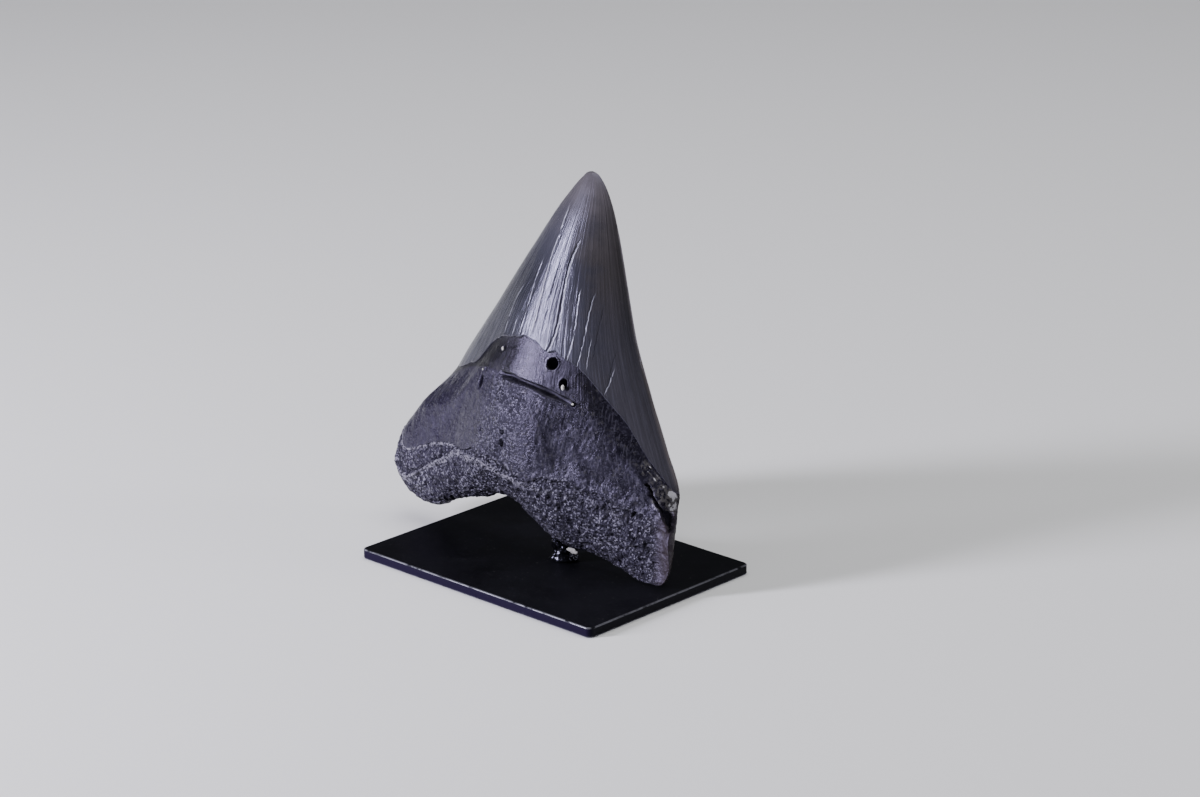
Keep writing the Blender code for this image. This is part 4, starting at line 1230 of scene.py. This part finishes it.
def root_finish():
    """Charcoal dentine with a satin skin: fibrous and nearly black at the neck, finely grained
    over the body with pale specks that are painted glints on the boss, a painted violet sheen on
    the broad side, flecked at the worn rim with pale grains and painted glints, a painted
    highlight along the rim's crest, painted shade in the recess above the crest, in the pores and
    pits and in the neck's groove, black painted shade in the holes and the split, with chalky
    chips at the shoulder and a dark brown stain on the narrow side."""
    made, tree, shader = new_material("root_dentine", 0.42, specular=0.3, tint=ROOT_VIOLET)
    spot = place_of(tree)
    s = field(tree, "across")
    t = field(tree, "down")
    rim = field(tree, "rim")
    hole = field(tree, "hole")
    stain = field(tree, "stain")
    neck = field(tree, "neck") * s.ramp(0.74, 0.56)
    boss = s.ramp(-0.30, -0.24) * s.ramp(0.16, 0.02) * field(tree, "lingual")
    # the crest field read as a painted highlight on the crest and as painted shade in the recess
    # above it
    raised = field(tree, "crest").ramp(0.15, 0.75)
    painted_recess_shade = field(tree, "crest").ramp(-0.10, -0.60)
    broad = mottle(spot, 130.0, 0.15)
    speck = fine_grain(spot, 1250.0, 0.9)
    grain = fine_grain(spot, 2100.0, 0.6)
    fibres = fibre(s, t, 80.0, 6.0, 3.0)
    strands = fibre(s + t * 0.55, t, 95.0, 26.0, 11.0)
    neck_tone = blend(fibres.ramp(0.38, 0.62), (0.0025, 0.0024, 0.0028), (0.0070, 0.0066, 0.0084))
    # pale grains of the worn bone, partly painted glints, with painted highlight specks along the
    # crest
    pale_grains_and_glints = grain["Tone"].ramp(0.74, 0.96) + raised * speck["Tone"].ramp(0.0, 0.6)
    patches = noise(spot, 170.0, 2.0, 0.5).ramp(0.42, 0.60, 0.55, 1.0)
    # random dark grains of the rim, with painted shade in the recess above the crest, in the pores
    # and pits and in the neck's groove
    dark_grains_and_painted_shade = grain["Tone"].ramp(0.50, 0.25).most(painted_recess_shade) * rim
    dark_grains_and_painted_shade = dark_grains_and_painted_shade.most(field(tree, "pit")).most(field(tree, "groove"))
    chalky = field(tree, "shoulder") + speck["Tone"] * 0.6
    base = blend(broad, (0.0040, 0.0036, 0.0062), (0.0075, 0.0068, 0.0112))
    base = layered(base, [
        # painted sheen: violet, lighter colour towards the broad side
        (s.ramp(-0.15, -0.40, 0.0, 0.5), (0.0130, 0.0098, 0.0240)),
        # pale specks of the grain all over, and more of them on the boss as painted glints
        (grain["Tone"].ramp(0.62, 0.95) * (boss * 0.7 + 0.3), (0.070, 0.066, 0.092)),
        (strands.ramp(0.52, 0.66) * s.ramp(0.0, 0.25, 0.0, 0.9), (0.036, 0.034, 0.045)),
        (neck, neck_tone),
        # worn rim flecked with pale grains and painted glints
        (pale_grains_and_glints.least(1.0) * rim * patches, (0.165, 0.158, 0.205)),
        # painted highlight along the rim's crest
        (raised * grain["Tone"].ramp(0.2, 0.8) * 0.7, (0.20, 0.19, 0.235)),
        # painted shade, with some dark grains
        (dark_grains_and_painted_shade * 0.9, (0.0012, 0.0012, 0.0015)),
        (stain * 0.85, (0.016, 0.0105, 0.0095)),
        (chalky.ramp(0.50, 0.75, 0.0, 0.85), (0.058, 0.055, 0.054)),
        (chalky.ramp(0.94, 1.08), (0.31, 0.305, 0.325)),
        # painted shade: black inside the holes and the split
        (hole * 0.95, (0.002, 0.002, 0.002)),
    ])
    beside = s.ramp(-0.12, -0.26).most(s.ramp(0.12, 0.30))
    pocks = speck["Tone"].ramp(0.62, 0.46) * boss * (1.0 - neck)
    gloss = broad.ramp(0.0, 1.0, 0.22, 0.31) + rim * 0.12 - neck * 0.06 + beside * neck * 0.10
    gloss = gloss - boss * 0.07 + pocks * 0.50 + stain * 0.15 + dark_grains_and_painted_shade * 0.3 + hole * 0.4
    coarse = s.ramp(-0.55, -0.10, 0.3, 1.0) * s.ramp(0.06, 0.26, 1.0, 0.25) * (1.0 - neck * 0.6)
    relief = bump(grain["Height"] * (rim + 0.25), 0.00014, 0.8)
    relief = bump(speck["Height"] * (rim + coarse), 0.00016, 1.0, relief)
    relief = bump(fibres * (neck + 0.20), 0.00014, 0.7, relief)
    fill(shader, {"Base Color": base, "Roughness": gloss, "Normal": relief})
    return made


def plate_finish():
    """Satin blackened metal, faintly smeared and dusty, with a painted violet sheen on its long
    sides, and the metal showing at worn edges, lighter there both as worn metal and as a painted
    edge highlight."""
    made, tree, shader = new_material("blackened_plate", 0.4, specular=0.07, tint=STEEL_BLUE)
    spot = place_of(tree)
    smear = mottle(spot, 38.0, 0.14)
    speck = noise(spot, 1400.0, 2.0, 0.5)
    worn = edge_wear(spot, 260.0, 0.60)
    base = blend(smear, (0.0022, 0.0022, 0.003), (0.0045, 0.0045, 0.006))
    base = layered(base, [
        # painted sheen: violet on the long sides
        (field(tree, "long_side_sheen"), (0.0062, 0.0034, 0.0150)),
        (speck.ramp(0.70, 0.78) * 0.5, (0.10, 0.10, 0.10)),
        # worn edges lighter: bare metal from wear, and a painted highlight along the edges
        (worn * 0.5, (0.20, 0.20, 0.23)),
    ])
    fill(shader, {
        "Base Color": base, "Metallic": worn * 0.6, "Normal": bump(speck, 0.00003, 0.4),
        "Roughness": smear.ramp(0.0, 1.0, 0.34, 0.50),
    })
    return made


def post_finish():
    """Blackened steel with fine turning marks round it."""
    made, tree, shader = new_material("blackened_post", 0.42, metal=0.7)
    spot = place_of(tree)
    tone = mottle(spot, 300.0, 0.2)
    stretched = {"Vector": spot, "Scale": (40.0, 40.0, 6000.0)}
    marks = noise(Node(tree, "ShaderNodeMapping", {}, stretched)[0], 1.0, 2.0, 0.5)
    fill(shader, {
        "Base Color": blend(tone, (0.02, 0.02, 0.02), (0.05, 0.05, 0.052)),
        "Normal": bump(marks, 0.00003, 0.5),
    })
    return made


def adhesive_finish():
    """Hardened adhesive: dark, cloudy, uneven and wet-looking."""
    made, tree, shader = new_material("adhesive", 0.12, specular=0.35, tint=STEEL_BLUE)
    spot = place_of(tree)
    cloudy = mottle(spot, 420.0, 0.16)
    fill(shader, {
        "Base Color": blend(cloudy, (0.001, 0.001, 0.0013), (0.004, 0.004, 0.005)),
        "Roughness": cloudy.ramp(0.0, 1.0, 0.05, 0.16),
        "Normal": bump(noise(spot, 900.0, 3.0, 0.5), 0.00025, 0.5),
    })
    return made


def sediment_finish(name, share):
    """Chalky sediment: off-white or, at a share of that, grey; mottled and powdery."""
    made, tree, shader = new_material(name, 0.75)
    spot = place_of(tree)
    tone = mottle(spot, 1400.0, 0.2)
    grain = fine_grain(spot, 3000.0, 0.6)
    dark, light = ([share * v for v in c] for c in ((0.30, 0.29, 0.28), (0.66, 0.65, 0.63)))
    fill(shader, {
        "Base Color": blend(tone, dark, light), "Normal": bump(grain["Height"], 0.00006, 0.7),
    })
    return made


def floor_finish():
    """Plain pale floor, matt."""
    made, _, shader = new_material("pale_floor", 0.8, specular=0.2)
    fill(shader, {"Base Color": (0.74, 0.74, 0.75)})
    return made


def dress(obj, made):
    """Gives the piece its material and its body."""
    obj.data.materials.clear()
    obj.data.materials.append(made)
    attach(obj, "root")
    return obj


# ---- studio: name, place, width, height, power and tint of each softbox, and where they aim
SOFTBOXES = [
    ("key_softbox", (-0.54, -0.89, 0.34), 0.12, 0.56, 31.0, (0.90, 0.88, 1.0)),
    ("top_softbox", (0.0, 0.20, 1.70), 1.5, 1.5, 25.0, (1.0, 1.0, 1.0)),
    ("rim_softbox", (0.80, 0.55, 0.40), 0.25, 0.50, 2.0, (1.0, 1.0, 1.0)),
]
LIGHT_AIM = Vector((0.0, 0.0, 0.065))
AIR_TONE = (0.42, 0.43, 0.46)
AIR_STRENGTH = 0.2
FLOOR_SIZE = 6.0
CAMERA_PLACE = (0.72893, -0.76590, 0.41351)
CAMERA_TURN = math.radians(42.78)
CAMERA_DIP = math.radians(18.63)
CAMERA_LENS = 105.0
CAMERA_FILM = 36.0


def softbox(name, place, wide, high, power, tint):
    """Rectangular soft light at a place, turned to face the tooth."""
    light = bpy.data.lights.new(name, "AREA")
    light.shape = "RECTANGLE"
    light.size = wide
    light.size_y = high
    light.energy = power
    light.color = tint
    made = bpy.data.objects.new(name, light)
    made.location = place
    made.rotation_euler = (Vector(place) - LIGHT_AIM).to_track_quat("Z", "Y").to_euler()
    bpy.context.scene.collection.objects.link(made)


def studio():
    """Pale floor, dim even surroundings, a tall softbox ahead on the broad side, a wide one
    overhead, and a low one behind on the narrow side."""
    bpy.ops.mesh.primitive_plane_add(size=FLOOR_SIZE, location=(0.0, 0.0, 0.0))
    ground = bpy.context.object
    ground.name = "floor"
    ground.data.materials.append(floor_finish())
    world = bpy.data.worlds.new("surroundings")
    bpy.context.scene.world = world
    world.use_nodes = True
    air = world.node_tree.nodes["Background"]
    fill(air.inputs, {"Color": AIR_TONE, "Strength": AIR_STRENGTH})
    for values in SOFTBOXES:
        softbox(*values)


def camera():
    """Long lens ahead of the tooth on its narrow side, looking slightly down."""
    lens = bpy.data.cameras.new("camera")
    lens.lens = CAMERA_LENS
    lens.sensor_width = CAMERA_FILM
    lens.clip_start = 0.02
    made = bpy.data.objects.new("camera", lens)
    made.location = CAMERA_PLACE
    made.rotation_euler = (math.pi / 2 - CAMERA_DIP, 0.0, CAMERA_TURN)
    bpy.context.scene.collection.objects.link(made)
    bpy.context.scene.camera = made


bone = root_finish()
crown = dress(crown_enamel(), enamel_finish())
root = dress(root_dentine(), bone)
rim = dress(worn_rim(), bone)
for shell in (crown, root, rim):
    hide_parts("tooth")
dress(sediment_grains(), sediment_finish("pale_sediment", 1.0))
dress(pale_flake(), sediment_finish("grey_sediment", 0.4))
plate = dress(display_plate(), plate_finish())
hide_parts("base_plate")
glue = dress(adhesive_mound(), adhesive_finish())
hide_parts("adhesive_mound")
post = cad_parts["support_post"]
post.data.materials.clear()
post.data.materials.append(post_finish())

studio()
camera()
bpy.context.view_layer.update()
